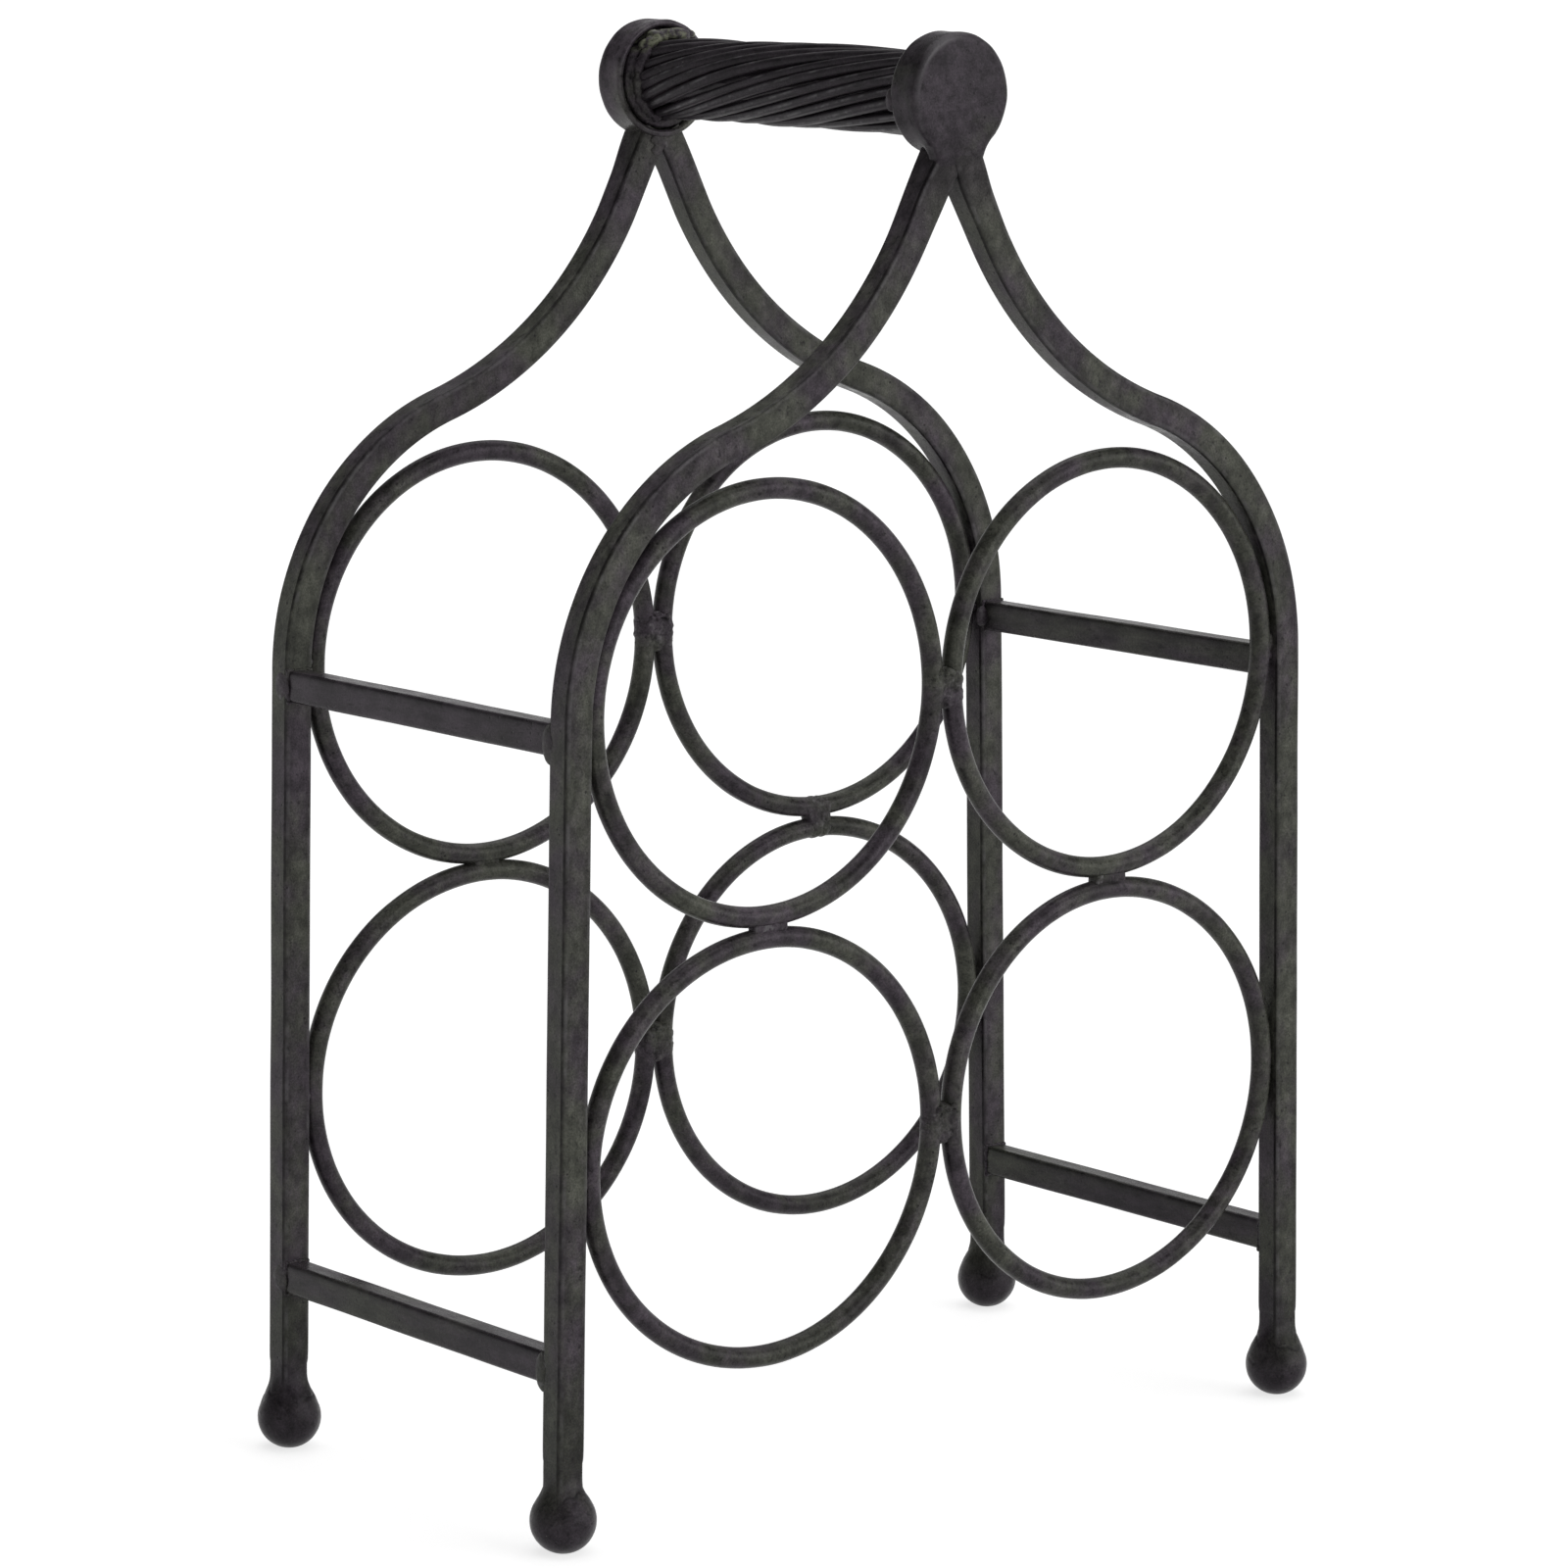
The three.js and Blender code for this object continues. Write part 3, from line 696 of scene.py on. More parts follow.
def make_foot(end, side, material, seed):
    short = (end, side) == ("front", "left")
    rows, edge, groove, angles = foot_rows(SHORT_FLARE if short else FLARE)
    fold = forging_folds(rows, angles[None], seed)
    z = rows[..., 2]
    low, high = FOOT_LEAN
    lean = (z - LEG_BASE_Z) * -LEG_SLOPE * np.clip((z - low) / (high - low), 0, 1)
    x = SIDES[side] * (rows[..., 0] + leg_x(LEG_BASE_Z) + lean)
    y = ENDS[end] * (rows[..., 1] + FRAME_Y)
    name = f"{end}_{side}_foot"
    mesh = lofted(name, np.stack([x, y, z], -1), edge=edge, groove=np.maximum(groove, fold))
    piece(name, mesh, material, "bar_iron", name)


# Rings


def rod_streaks(turn, round_rod, seed):
    """Long dark streaks that follow a ring's rod."""
    stretch = RING_RADIUS / STREAK_LENGTH
    places = np.empty((len(turn), len(round_rod), 3))
    places[..., 0] = stretch * np.cos(turn)[:, None]
    places[..., 1] = stretch * np.sin(turn)[:, None]
    places[..., 2] = 2.2 * np.sin(round_rod)[None]
    streaks = noise_at(places.reshape(-1, 3), 1, seed).reshape(places.shape[:2])
    return np.clip(2.0 * streaks - 0.4, 0, 0.7)


def make_ring(end, tier, side, material, seed):
    drift = np.array(RING_DRIFT.get((end, tier, side), (0, 0, 0)))
    centre_z = RING_MIDDLE[tier].z
    turn = np.linspace(0, 2 * math.pi, RING_STEPS, endpoint=False)
    round_rod = np.linspace(0, 2 * math.pi, ROD_SIDES, endpoint=False)
    leg_inner = leg_x(centre_z) - BAR_WIDTH / 2
    spare = max(0, leg_inner - COLUMN_X - RING_SIZE.x / 2 - WELD_GAP)
    path_radius = RING_RADIUS + spare * np.clip(np.cos(turn), 0, 1) ** 2
    circle = np.stack([np.cos(turn), np.sin(turn), turn * 0], -1)
    wave = RING_WAVE * noise_at(circle, 0.8, seed)
    rod = ROD_RADIUS * (1 + ROD_WAVE * noise_at(circle, 0.15, seed + 3))
    radial = path_radius[:, None] + rod[:, None] * np.cos(round_rod)[None]
    x = radial * np.cos(turn)[:, None] + COLUMN_X
    z = radial * np.sin(turn)[:, None] + centre_z
    y = rod[:, None] * np.sin(round_rod)[None] + wave[:, None]
    rows = np.stack([SIDES[side] * x, ENDS[end] * FRAME_Y + y, z], -1) + drift
    name = f"{end}_{tier}_{side}_ring"
    mesh = lofted(name, rows, loop=True, groove=rod_streaks(turn, round_rod, seed))
    piece(name, mesh, material, "rod_iron", name)


# Cross bars


def cross_bar_middle(side, tier):
    drift = Vector((0, 0, CROSS_BAR_DRIFT.get((side, tier), 0)))
    return middle(f"{side}_{tier}_cross_bar") + drift


def make_cross_bar(side, tier, material, seed):
    name = f"{side}_{tier}_cross_bar"
    size = extent(name)
    centre = cross_bar_middle(side, tier)
    section = bar_section(size.z, size.x, CROSS_BAR_CORNER)
    reach = size.y / 2 + WELD_GAP
    steps = round(2 * reach / BAR_STEP)
    y = np.linspace(-reach, reach, steps)
    rows = np.empty((steps, len(section), 3))
    rows[..., 0] = SIDES[side] * section[None, :, 1] + centre.x
    rows[..., 1] = y[:, None]
    rows[..., 2] = section[None, :, 0] + centre.z
    rows = hand_forged(rows, CROSS_BAR_WAVE, seed)
    rows[..., 1] = y[:, None]
    # Painted shade only by the top corners: a dark band just under the top edge.
    groove = np.where(section[:, 0] > 0, section[:, 3], 0)
    mesh = lofted(name, rows, edge=section[:, 2], groove=groove)
    piece(name, mesh, material, "bar_iron", name)


# Welds


def weld_mesh(name, blobs, seed, depth=0.22 * MM, soot=1.0):
    mesh = remeshed(name, [blob(centre, radii) for centre, radii in blobs], WELD_VOXEL, 3)
    shares = slag(mesh, depth, seed)
    shares["groove"] = shares["groove"] * soot
    return finished(mesh, shares)


def slag(mesh, depth, seed):
    """Roughens a weld, and gives it soot in the hollows and pale tops."""
    roughened(mesh, depth, LUMP_SIZE, seed)
    roughened(mesh, depth * 0.5, GRIT_SIZE, seed + 4)
    points = points_of(mesh)
    lumps = noise_at(points, LUMP_SIZE, seed) + 0.6 * noise_at(points, GRIT_SIZE, seed + 4)
    return {"groove": np.clip(-2.4 * lumps - 0.35, 0, 1), "edge": np.clip(2.4 * lumps - 0.5, 0, 0.8)}


def weld_run(start, stop, radii, spacing, jitter, chance):
    """Overlapping drops of weld from start to stop."""
    start = Vector(start)
    stop = Vector(stop)
    count = max(2, round((stop - start).length / spacing) + 1)
    drops = []
    for i in range(count):
        spot = start.lerp(stop, i / (count - 1))
        spot = spot + Vector([chance.uniform(-jitter, jitter) for _ in range(3)])
        grow = chance.uniform(0.82, 1.12)
        drops.append((spot, [r * grow for r in radii]))
    return drops


def ring_weld_drops(centre, along, across, half_length, cover, chance):
    """Weld that fills the groove between two rods on both sides, and laps over them by cover."""
    drops = []
    steps = round(2 * half_length / (0.7 * MM))
    pitch = ROD_RADIUS + WELD_GAP
    for i in range(steps + 1):
        share = 2 * i / steps - 1
        spot = Vector(centre) + Vector(along) * (half_length * share)
        fill = ROD_RADIUS * (0.72 + 0.36 * cover) + chance.uniform(-0.15, 0.12) * MM
        jitter = Vector([chance.uniform(-0.12, 0.12) * MM for _ in range(3)])
        drops.append((spot + jitter, weld_radii(along, across, 0.9 * MM, pitch * 0.95, fill)))
        if chance.random() < 1.3 * cover and abs(share) < 0.8:
            for side in (-1, 1):
                lap = spot + Vector(across) * (side * pitch * chance.uniform(0.92, 1.0))
                size = ROD_RADIUS + chance.uniform(0.05, 0.4) * MM * (1 - share * share)
                drops.append((lap, weld_radii(along, across, 2.4 * MM, size, size)))
    if cover > 0.5:
        drops += weld_lip(Vector(centre) + Vector(along) * (half_length * 0.95), across, pitch, chance)
    return drops


def weld_lip(centre, across, pitch, chance):
    """Ragged lip where the weld was broken off, on both sides of the frame."""
    drops = []
    for face in (-1, 1):
        for i in range(8):
            shift = pitch * (0.28 * (i - 3.5)) + chance.uniform(-0.2, 0.2) * MM
            rise = Vector((0, face * (ROD_RADIUS + chance.uniform(-0.2, 0.3) * MM), 0))
            drop = centre + Vector(across) * shift + rise + Vector((0, 0, chance.uniform(-0.35, 0.35) * MM))
            drops.append((drop, [chance.uniform(0.45, 0.85) * MM for _ in range(3)]))
    return drops


def weld_radii(along, across, length, width, depth):
    """Radii of a drop as x, y and z, from its sizes along the rods, across them and through the frame."""
    sizes = Vector(along) * length + Vector(across) * width
    return (sizes.x, depth, sizes.z)


def make_ring_welds(end, material, seed):
    chance = random.Random(seed)
    y = ENDS[end] * FRAME_Y
    up = (0, 0, 1)
    right = (1, 0, 0)
    for tier in TIERS:
        name = f"{end}_{tier}_ring_weld"
        drop = 1.2 * MM if end == "front" else 0
        drops = ring_weld_drops((0, y, RING_MIDDLE[tier].z - drop), up, right, 4.0 * MM, 0.9, chance)
        piece(name, weld_mesh(name, drops, seed + len(tier)), material, "weld_metal", name)
    for side, sign in SIDES.items():
        name = f"{end}_{side}_tier_weld"
        cover = 0.5 if (end, side) == ("back", "right") else 0
        half_length = 2.8 * MM if end == "back" else 4.0 * MM
        drops = ring_weld_drops((sign * COLUMN_X, y, TIER_Z), right, up, half_length, cover, chance)
        mesh = weld_mesh(name, drops, seed + 20 + sign, depth=0.12 * MM, soot=0.4)
        piece(name, mesh, material, "weld_metal", name)


def make_head_weld(material, seed):
    """Lump of weld in the fork of the back bars, under the cap."""
    chance = random.Random(seed)
    y = FRAME_Y - BAR_DEPTH / 2 + 0.1 * MM
    drops = []
    for _ in range(12):
        x = HEAD_DRIFT + chance.uniform(-2.4, 2.4) * MM
        z = NECK_Z + chance.uniform(-0.6, 3.2) * MM
        size = chance.uniform(0.9, 1.3) * MM
        drops.append(((x, y, z), [size * 1.3, size * 0.28, size]))
    name = "back_head_weld"
    mesh = weld_mesh(name, drops, seed, depth=0.08 * MM, soot=0.15)
    piece(name, mesh, material, "weld_metal")


def make_leg_welds(end, side, material, seed):
    """Webs of weld between the rings and the upright beside them."""
    chance = random.Random(seed)
    y = ENDS[end] * FRAME_Y
    for tier in TIERS:
        z = RING_MIDDLE[tier].z
        x = SIDES[side] * (leg_x(z) - BAR_WIDTH / 2 - 0.6 * MM)
        drops = []
        for face in (-1, 1):
            start = (x, y + face * 0.7 * MM, z - LEG_WELD_HALF)
            stop = (x, y + face * 0.7 * MM, z + LEG_WELD_HALF)
            drops += weld_run(start, stop, LEG_WELD_RADII, DROP_SPACING, 0.15 * MM, chance)
        name = f"{end}_{tier}_{side}_leg_weld"
        piece(name, weld_mesh(name, drops, seed + len(tier)), material, "weld_metal")


def bar_lugs(side, tier, end, x, y, z):
    """Weld that laps round the end of a cross bar, or a lump beside it, from its left face's x."""
    if side == "left" and end == "front":
        return [((x + 0.1 * MM, y + 0.3 * MM, z - 0.9 * MM), (0.9 * MM, 2.7 * MM, 4.6 * MM))]
    if side == "left":
        return [((x - 0.3 * MM, y + 2.2 * MM, z - 0.1 * MM), (0.4 * MM, 3.0 * MM, 3.6 * MM))]
    if tier == "upper" and end == "back":
        return [((x - 0.9 * MM, y - 0.5 * MM, z), (1.9 * MM, 1.3 * MM, 2.6 * MM))]
    return []


def make_cross_bar_welds(side, tier, material, seed):
    """Fillets of weld round the ends of a cross bar."""
    chance = random.Random(seed)
    centre = cross_bar_middle(side, tier)
    size = extent(f"{side}_{tier}_cross_bar")
    left = centre.x - size.x / 2
    right = centre.x + size.x / 2
    top = centre.z + size.z / 2
    low = centre.z - size.z / 2
    for end, sign in ENDS.items():
        y = sign * (size.y / 2 + WELD_GAP)
        corners = [(left, y, top), (right, y, top), (right, y, low), (left, y, low), (left, y, top)]
        drops = bar_lugs(side, tier, end, left, y, centre.z)
        for start, stop in zip(corners, corners[1:]):
            drops += weld_run(start, stop, BAR_WELD_RADII, DROP_SPACING, 0.1 * MM, chance)
        name = f"{side}_{tier}_{end}_bar_weld"
        mesh = weld_mesh(name, drops, seed, depth=0.08 * MM, soot=0.3)
        piece(name, mesh, material, "weld_metal")


# Handle


def lathe(name, profile, sides=128):
    """Turns a closed profile of (radius, y) points round the handle's axis."""
    angles = np.linspace(0, 2 * math.pi, sides, endpoint=False)
    profile = np.array(profile)
    rows = np.empty((len(profile), sides, 3))
    rows[..., 0] = profile[:, None, 0] * np.cos(angles)
    rows[..., 1] = profile[:, None, 1]
    rows[..., 2] = profile[:, None, 0] * np.sin(angles) + HANDLE_Z
    return lofted(name, rows, loop=True)


def cap_profile():
    """Section of a cap: domed face, rounded edge, waisted wall, rolled rim, bore and floor."""
    floor = CAP_FACE - CAP_FLOOR
    points = [(AXIS_HOLE, CAP_FACE), (CAP_RADIUS * 0.5, CAP_FACE - CAP_DOME * 0.3)]
    for angle in np.radians(np.linspace(0, 90, 7)):
        radius = CAP_RADIUS - CAP_EDGE * (1 - math.sin(angle))
        points.append((radius, CAP_FACE - CAP_DOME - CAP_EDGE * (1 - math.cos(angle))))
    wall_start = CAP_FACE - CAP_DOME - CAP_EDGE
    for share in np.linspace(0.12, 0.88, 8):
        radius = CAP_RADIUS - CAP_WAIST * math.sin(math.pi * share) ** 1.5
        points.append((radius, wall_start + (CAP_MOUTH - wall_start) * share))
    rim = CAP_WALL / 2
    for angle in np.radians(np.linspace(0, 180, 7)):
        points.append((CAP_RADIUS - rim + rim * math.cos(angle), CAP_MOUTH + rim - rim * math.sin(angle)))
    points += [(CAP_RADIUS - CAP_WALL, floor), (AXIS_HOLE, floor)]
    return points


def neck_half_width(end, z):
    """Follows the outer edges of the bars to the waist, then flares up into the cap."""
    bars = HEAD_HALF + HEAD_X + HEAD_WIDER - (z - NECK_Z) * math.tan(HEAD_LEAN)
    flare = NECK_FLARE[end] * max(0, (z - NECK_Z - NECK_LIFT) / NECK_FLARE_RUN) ** 2
    return max(bars - 0.1 * MM, NECK_WAIST[end] + flare)


def neck_mesh(end):
    """Thin throat on the bars' outer faces, up into the cap."""
    rows = []
    base = NECK_Z + 0.4 * MM
    top = HANDLE_Z - CAP_RADIUS + 5.2 * MM
    outer = FRAME_Y + BAR_DEPTH / 2
    for z in np.linspace(base, top, 28):
        half = neck_half_width(end, z)
        rise = min(1, (z - base) / (4.6 * MM))
        ahead = NECK_AHEAD * smooth_step(z, NECK_Z + 0.5 * MM, NECK_Z + 4 * MM)
        front = outer + head_swell(z) - NECK_BEHIND + ahead
        back = outer - NECK_THICKNESS * (1 + rise)
        depth = (front - back) / 2
        spot = (front + back) / 2
        row = []
        for angle in np.linspace(0, 2 * math.pi, 64, endpoint=False):
            c = math.cos(angle)
            d = math.sin(angle)
            x = half * math.copysign(abs(c) ** NECK_SQUARENESS, c)
            y = spot + depth * math.copysign(abs(d) ** NECK_SQUARENESS, d)
            row.append((x, y, z))
        rows.append(row)
    return lofted("neck", rows)


def cap_shares(points):
    """Rubbed edges with painted highlight on them, a painted highlight along the upper left of the face's
    edge, and painted shade on the wall behind it.
    """
    up = points[:, 2] - HANDLE_Z
    radius = np.hypot(points[:, 0], up)
    degrees = np.degrees(np.arctan2(up, points[:, 0]))
    from_face = CAP_FACE - points[:, 1]
    rim = bell(radius, CAP_RADIUS - 0.5 * MM, 0.7 * MM)
    face = bell(from_face, 0.7 * MM, 0.6 * MM)
    lip = bell(points[:, 1], CAP_MOUTH + 0.2 * MM, 0.35 * MM)
    arc = bell(radius, CAP_RADIUS - 0.9 * MM, 0.6 * MM) * (from_face < 1.4 * MM)
    # Painted highlight, strongest at the upper left where the light would catch the edge.
    lit = 0.7 * bell(degrees, 61, 26) + 0.3 * bell(degrees, 12, 34)
    # Painted shade in the waist of the wall behind the edge.
    wall = bell(from_face, 2.9 * MM, 0.8 * MM) * (radius > CAP_RADIUS - 0.6 * MM)
    return {"edge": 0.5 * rim * np.maximum(face, lip), "painted_highlight": arc * lit, "groove": 0.5 * wall}


def make_cap(end, material, seed):
    name = f"{end}_handle_cap"
    mesh = remeshed(name, [lathe("cap", cap_profile()), neck_mesh(end)], CAP_VOXEL, 5)
    shares = cap_shares(points_of(mesh))
    roughened(mesh, 0.1 * MM, 4 * MM, seed)
    finished(turned_to(end, mesh), shares)
    piece(name, mesh, material, "handle_iron", name)


def turned_to(end, mesh):
    """Turns a mesh made for the back of the handle to its end, and moves it with the drifted bars."""
    if end == "front":
        mesh.transform(Matrix.Rotation(math.pi, 4, "Z"))
    mesh.transform(Matrix.Translation((HEAD_DRIFT, 0, 0)))
    return mesh


def strand_angle(index, share):
    """The strands lie steeper towards the back of the handle."""
    uneven = 0.55 * share + 0.45 * share * share
    return 2 * math.pi * index / STRAND_COUNT + HANDLE_TWIST * (uneven - 0.5)


def make_strand(index, material, chance):
    half_angle = math.pi / STRAND_COUNT
    circle = HANDLE_RADIUS / (1 + math.sin(half_angle))
    rod = circle * math.sin(half_angle) - STRAND_GAP
    sway_phase = chance.uniform(0, 6.28)
    sway = chance.uniform(0.03, 0.075)
    lift_phase = chance.uniform(0, 6.28)
    fat = chance.uniform(0.8, 1.04)
    rows = []
    for i in range(STRAND_STEPS + 1):
        share = i / STRAND_STEPS
        y = -HANDLE_END + 2 * HANDLE_END * share
        angle = strand_angle(index, share) + sway * math.sin(4.2 * share + sway_phase)
        radius = circle + STRAND_LIFT * math.sin(5.1 * share + lift_phase) - STRAND_SUNK
        out = Vector((math.cos(angle), 0, math.sin(angle)))
        ahead = strand_angle(index, share + 0.01) - strand_angle(index, share)
        slope = radius * ahead / (0.02 * HANDLE_END)
        along = Vector((-math.sin(angle) * slope, 1, math.cos(angle) * slope)).normalized()
        side = along.cross(out)
        centre = out * radius + Vector((HEAD_DRIFT, y, HANDLE_Z))
        row = []
        for k in range(STRAND_SIDES):
            turn = 2 * math.pi * k / STRAND_SIDES
            lifted = centre + out * (rod * fat * 0.98 * math.cos(turn))
            row.append(tuple(lifted + side * (rod * fat * math.sin(turn))))
        rows.append(row)
    name = f"handle_strand_{index + 1:02d}"
    # Painted highlight along the upper side of each strand's top, partly rubbed metal.
    crest_highlight = [STRAND_CREST_HIGHLIGHT if k == 1 else 0 for k in range(STRAND_SIDES)]
    mesh = lofted(name, rows, edge=crest_highlight)
    piece(name, mesh, material, "handle_iron", name)


def collar_profile():
    """Section of the weld ring that lies in the cup round the strands."""
    inside = HANDLE_RADIUS - 0.9 * MM
    outside = HANDLE_RADIUS + HANDLE_WELD - 0.3 * MM
    front = CAP_MOUTH - 0.2 * MM
    back = CAP_MOUTH + COLLAR_DEPTH
    middle_radius = (inside + outside) / 2
    half = (outside - inside) / 2
    points = [(inside, back), (outside, back)]
    for angle in np.radians(np.linspace(0, 180, 9)):
        y = front + COLLAR_ROUND - COLLAR_ROUND * math.sin(angle)
        points.append((middle_radius + half * math.cos(angle), y))
    return points


def sunk_collar():
    """Weld ring round the strands, sunk into the cup at the top."""
    mesh = lathe("collar", collar_profile(), 96)
    points = points_of(mesh)
    angle = np.arctan2(points[:, 2] - HANDLE_Z, points[:, 0])
    radius = np.hypot(points[:, 0], points[:, 2] - HANDLE_Z)
    sunk = COLLAR_SUNK * np.exp(-(((angle - math.radians(88)) / math.radians(48)) ** 4))
    outer = np.clip((radius - HANDLE_RADIUS - 0.5 * MM) / (0.7 * MM), 0, 1)
    points[:, 1] += outer * np.minimum(sunk, np.maximum(0, CAP_MOUTH + COLLAR_DEPTH - points[:, 1]))
    move_points(mesh, points)
    return mesh


def round_axis(angle, reach, y):
    """Place at this angle and distance from the handle's axis."""
    return (reach * math.cos(angle), y, HANDLE_Z + reach * math.sin(angle))


def weld_heap(chance):
    """Ragged heap of weld over the top of the strands, drawn out to a tip at the right."""
    parts = []
    for degrees in range(66, 132, 3):
        angle = math.radians(degrees + chance.uniform(-2, 2))
        reach = HANDLE_RADIUS + chance.uniform(0.0, 1.0) * MM
        depth = CAP_MOUTH + chance.uniform(-2.4, 0.2) * MM
        spot = round_axis(angle, reach, depth)
        size = chance.uniform(1.1, 1.55) * MM
        parts.append(blob(spot, [size * 1.5, size * 1.3, size]))
    tip = math.radians(63)
    spot = round_axis(tip, HANDLE_RADIUS + 1.7 * MM, CAP_MOUTH - 1.5 * MM)
    parts.append(blob(spot, (2.4 * MM, 1.2 * MM, 1.1 * MM)))
    lump = math.radians(113)
    spot = round_axis(lump, HANDLE_RADIUS + 0.6 * MM, CAP_MOUTH - 1.0 * MM)
    parts.append(blob(spot, (2.2 * MM, 1.6 * MM, 1.9 * MM)))
    return parts


def weld_sleeve(chance):
    """Ragged weld over the starts of the strands, down the left of the heap."""
    parts = []
    for degrees in range(130, 256, 6):
        angle = math.radians(degrees + chance.uniform(-2, 2))
        reach = HANDLE_RADIUS - chance.uniform(0.3, 0.9) * MM
        out = 2.3 - 1.3 * (degrees - 130) / 126
        depth = CAP_MOUTH - out * chance.uniform(0.45, 1.0) * MM
        spot = round_axis(angle, reach, depth)
        size = chance.uniform(0.75, 1.2) * MM
        parts.append(blob(spot, [size, size * 1.4, size * 1.2]))
    return parts


def rim_blob():
    """Lump of weld on the rim of the front cap, made on the far side of the back one."""
    spot = (CAP_RADIUS - 1.1 * MM, CAP_MOUTH - 0.3 * MM, HANDLE_Z - 1.2 * MM)
    return blob(spot, (1.3 * MM, 1.6 * MM, 2.7 * MM))


def make_handle_weld(end, material, seed):
    """Rough collar between the strands and the cup, with a heap at the back and a lump at the front."""
    parts = [sunk_collar()]
    if end == "back":
        parts += weld_heap(random.Random(seed))
        parts += weld_sleeve(random.Random(seed + 1))
    else:
        parts.append(rim_blob())
    name = f"{end}_handle_weld"
    mesh = remeshed(name, parts, HANDLE_WELD_VOXEL, 9)
    on_top = np.clip((points_of(mesh)[:, 2] - HANDLE_Z - 6 * MM) / (2 * MM), 0, 1)
    shares = slag(mesh, 0.2 * MM, seed)
    # Lichen on the heap's top, made pale to stand in for the light falling there as well, and its edges
    # lightened: partly painted light.
    shares["lichen"] = on_top
    shares["groove"] = shares["groove"] * (0.4 + 0.4 * on_top)
    shares["edge"] = shares["edge"] * (0.15 + 0.6 * on_top)
    finished(turned_to(end, mesh), shares)
    piece(name, mesh, material, "weld_metal", name)


# Whole rack


def make_rack():
    bars = {
        # The last number is the painted shade under each cap, deeper under the front one.
        "front": iron_material("front_bar_patina", 1.32, 0.36, 0.33, streak=ALONG_LEG, cap_shade=0.7),
        "back": iron_material("back_bar_patina", 1.32, 0.36, 0.33, streak=ALONG_LEG, cap_shade=0.92),
    }
    rod = iron_material("rod_iron_patina", 1.22, 0.38, 0.31, stain=0.3)
    cross = iron_material("cross_bar_patina", 1.1, 0.42, 0.27, streak=ALONG_HANDLE)
    handle = iron_material("handle_iron_patina", 0.6, 0.62, 0.36, streak=ALONG_HANDLE, stain=0, relief=0.2)
    caps = {
        "front": iron_material("front_cap_patina", 0.88, 0.5, 0.3),
        # The back cap's copy has a higher tone, painted light so that it stands lighter than the front cap.
        "back": iron_material("back_cap_patina", 1.5, 0.42, 0.3),
    }
    weld = iron_material("weld_metal_patina", 1.12, 0.4, 0.4, stain=0.1, relief=0.6)
    heap = iron_material("handle_weld_patina", 1.1, 0.45, 0.4, stain=0.1, lichen=0.85, relief=0.6)
    seed = 10
    for end in ENDS:
        for side in SIDES:
            make_upright(end, side, bars[end], seed)
            make_foot(end, side, bars[end], seed + 1)
            make_leg_welds(end, side, weld, seed + 2)
            for tier in TIERS:
                make_ring(end, tier, side, rod, seed + 3 + len(tier))
            seed += 11
        make_ring_welds(end, weld, seed)
        make_cap(end, caps[end], seed + 1)
        make_handle_weld(end, heap, seed + 2)
    make_head_weld(weld, seed)
    for side in SIDES:
        for tier in TIERS:
            make_cross_bar(side, tier, cross, seed)
            make_cross_bar_welds(side, tier, weld, seed + 1)
            seed += 7
    chance = random.Random(5)
    for index in range(STRAND_COUNT):
        make_strand(index, handle, chance)
    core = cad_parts["handle_core"]
    core.data.materials.clear()
    core.data.materials.append(handle)


# Stage, lights and camera

CAMERA_AZIMUTH = math.radians(-38.5608)
CAMERA_ELEVATION = math.radians(9.2595)
CAMERA_ROLL = math.radians(0.1443)
CAMERA_DISTANCE = 1.36037
CAMERA_AIM = Vector((-3.019 * MM, -0.3136 * MM, 154.3445 * MM))
CAMERA_LENS = 132.79
CAMERA_SENSOR = 36
FLOOR_SIZE = 80
FLOOR_TONE = 0.5
FLOOR_GLOW = 0.74
SWEEP_LIGHT = 0.45
SWEEP_SEEN = 1.0
SWEEP_TOP = 0.2
ROOM_LIGHT = 0.18
ROOM_FROM = 0.42
TOP_LIGHT_FROM = Vector((0.3, 0.15, 1))
TOP_LIGHT = 1.5
TOP_SPREAD = math.radians(70)
FRONT_LIGHT_FROM = Vector((0.5, -0.85, 0.2))
FRONT_LIGHT = 1.4
FRONT_SPREAD = math.radians(60)


def make_camera():
    right = Vector((math.cos(CAMERA_AZIMUTH), math.sin(CAMERA_AZIMUTH), 0))
    level = Vector((right.y, -right.x, 0))
    back = level * math.cos(CAMERA_ELEVATION) + Vector((0, 0, math.sin(CAMERA_ELEVATION)))
    up = back.cross(right)
    rolled_right = right * math.cos(CAMERA_ROLL) + up * math.sin(CAMERA_ROLL)
    rolled_up = up * math.cos(CAMERA_ROLL) - right * math.sin(CAMERA_ROLL)
    data = bpy.data.cameras.new("camera")
    data.lens = CAMERA_LENS
    data.sensor_width = CAMERA_SENSOR
    camera = bpy.data.objects.new("camera", data)
    turn = Matrix((rolled_right, rolled_up, back)).transposed().to_4x4()
    camera.matrix_world = Matrix.Translation(CAMERA_AIM + back * CAMERA_DISTANCE) @ turn
    bpy.context.scene.collection.objects.link(camera)
    bpy.context.scene.camera = camera


def make_sun(name, direction, strength, spread):
    data = bpy.data.lights.new(name, "SUN")
    data.energy = strength
    data.angle = spread
    lamp = bpy.data.objects.new(name, data)
    lamp.rotation_euler = (-Vector(direction)).to_track_quat("-Z", "Y").to_euler()
    bpy.context.scene.collection.objects.link(lamp)


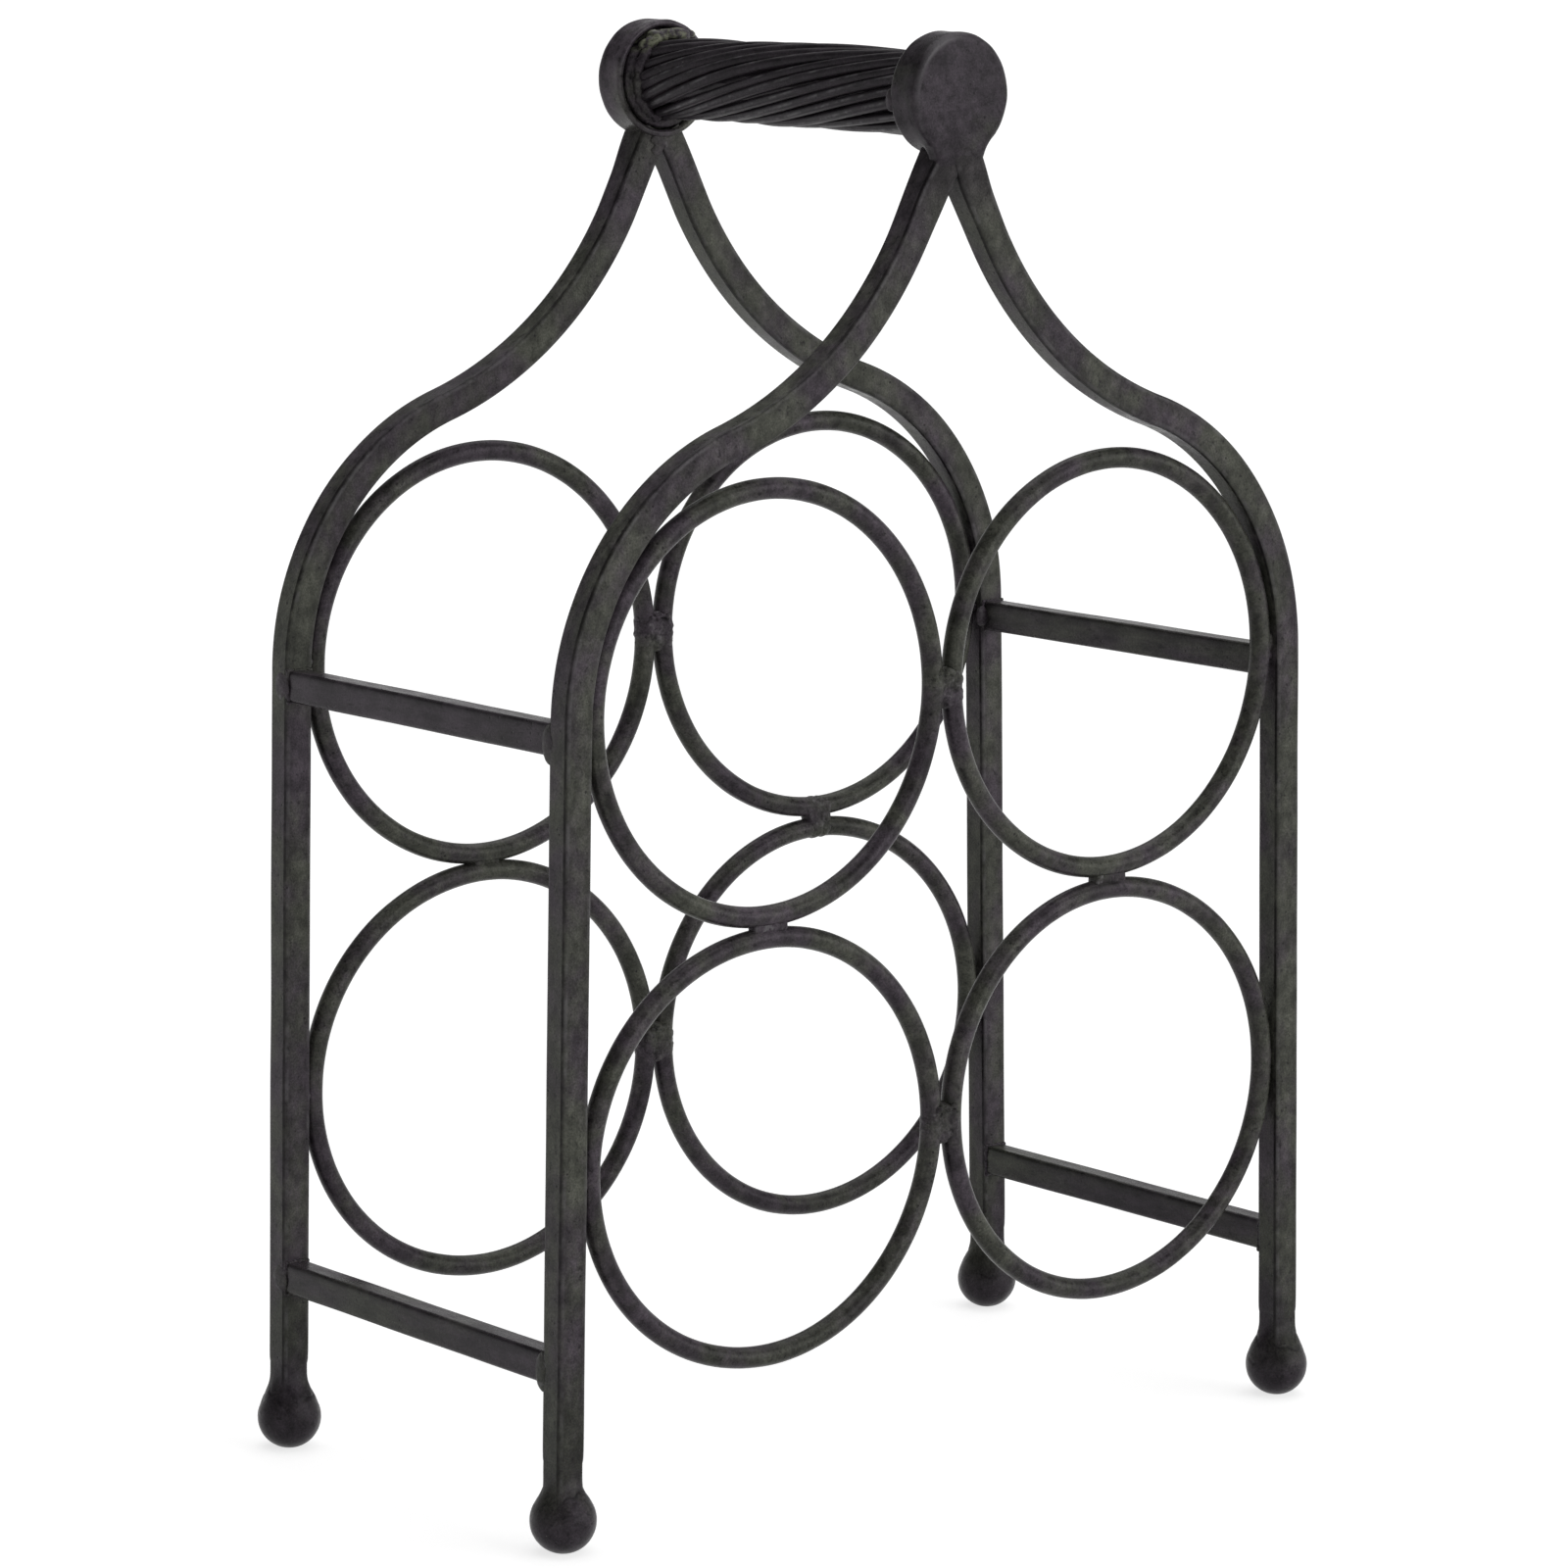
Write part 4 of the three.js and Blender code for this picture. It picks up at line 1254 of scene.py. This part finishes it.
def seen_ray(tree):
    """One where the camera, a reflection or clear glass looks, and nought for light on the object."""
    path = tree.nodes.new("ShaderNodeLightPath").outputs
    seen = path["Is Camera Ray"]
    for ray in ("Is Glossy Ray", "Is Transmission Ray"):
        seen = add_node(tree, "ShaderNodeMath", "Value", {0: seen, 1: path[ray]}, operation="MAXIMUM")
    return seen


def cleared_tree(owner):
    owner.use_nodes = True
    owner.node_tree.nodes.clear()
    return owner.node_tree


def make_floor():
    """Wide white floor. Where it is seen it also glows a little, so that it ends in plain white."""
    bpy.ops.mesh.primitive_plane_add(size=FLOOR_SIZE)
    floor = bpy.context.object
    floor.name = "floor"
    material = bpy.data.materials.new("floor_white")
    tree = cleared_tree(material)
    grey = (FLOOR_TONE, FLOOR_TONE, FLOOR_TONE, 1)
    diffuse = add_node(tree, "ShaderNodeBsdfDiffuse", "BSDF", {"Color": grey})
    lift = add_node(tree, "ShaderNodeMath", "Value", {0: seen_ray(tree), 1: FLOOR_GLOW}, operation="MULTIPLY")
    glow = add_node(tree, "ShaderNodeEmission", "Emission", {"Strength": lift})
    both = add_node(tree, "ShaderNodeAddShader", "Shader", {0: diffuse, 1: glow})
    add_node(tree, "ShaderNodeOutputMaterial", None, {"Surface": both})
    floor.data.materials.append(material)


def make_world():
    """White sweep low down all round, under a dimmer room. It is brighter where it is seen than as light."""
    world = bpy.data.worlds.new("studio")
    bpy.context.scene.world = world
    tree = cleared_tree(world)
    place = add_node(tree, "ShaderNodeTexCoord", "Generated", {})
    height = add_node(tree, "ShaderNodeSeparateXYZ", "Z", {"Vector": place})
    tones = {"Value": seen_ray(tree), "To Min": SWEEP_LIGHT, "To Max": SWEEP_SEEN}
    level = add_node(tree, "ShaderNodeMapRange", "Result", tones)
    span = {"Value": height, "From Min": SWEEP_TOP, "From Max": ROOM_FROM}
    ends = {"To Min": level, "To Max": ROOM_LIGHT}
    fade = add_node(tree, "ShaderNodeMapRange", "Result", span | ends, interpolation_type="SMOOTHSTEP")
    light = add_node(tree, "ShaderNodeBackground", "Background", {"Strength": fade})
    add_node(tree, "ShaderNodeOutputWorld", None, {"Surface": light})


bpy.context.scene.view_settings.view_transform = "Standard"
make_camera()
make_floor()
make_world()
make_sun("top_light", TOP_LIGHT_FROM, TOP_LIGHT, TOP_SPREAD)
make_sun("front_light", FRONT_LIGHT_FROM, FRONT_LIGHT, FRONT_SPREAD)
make_rack()
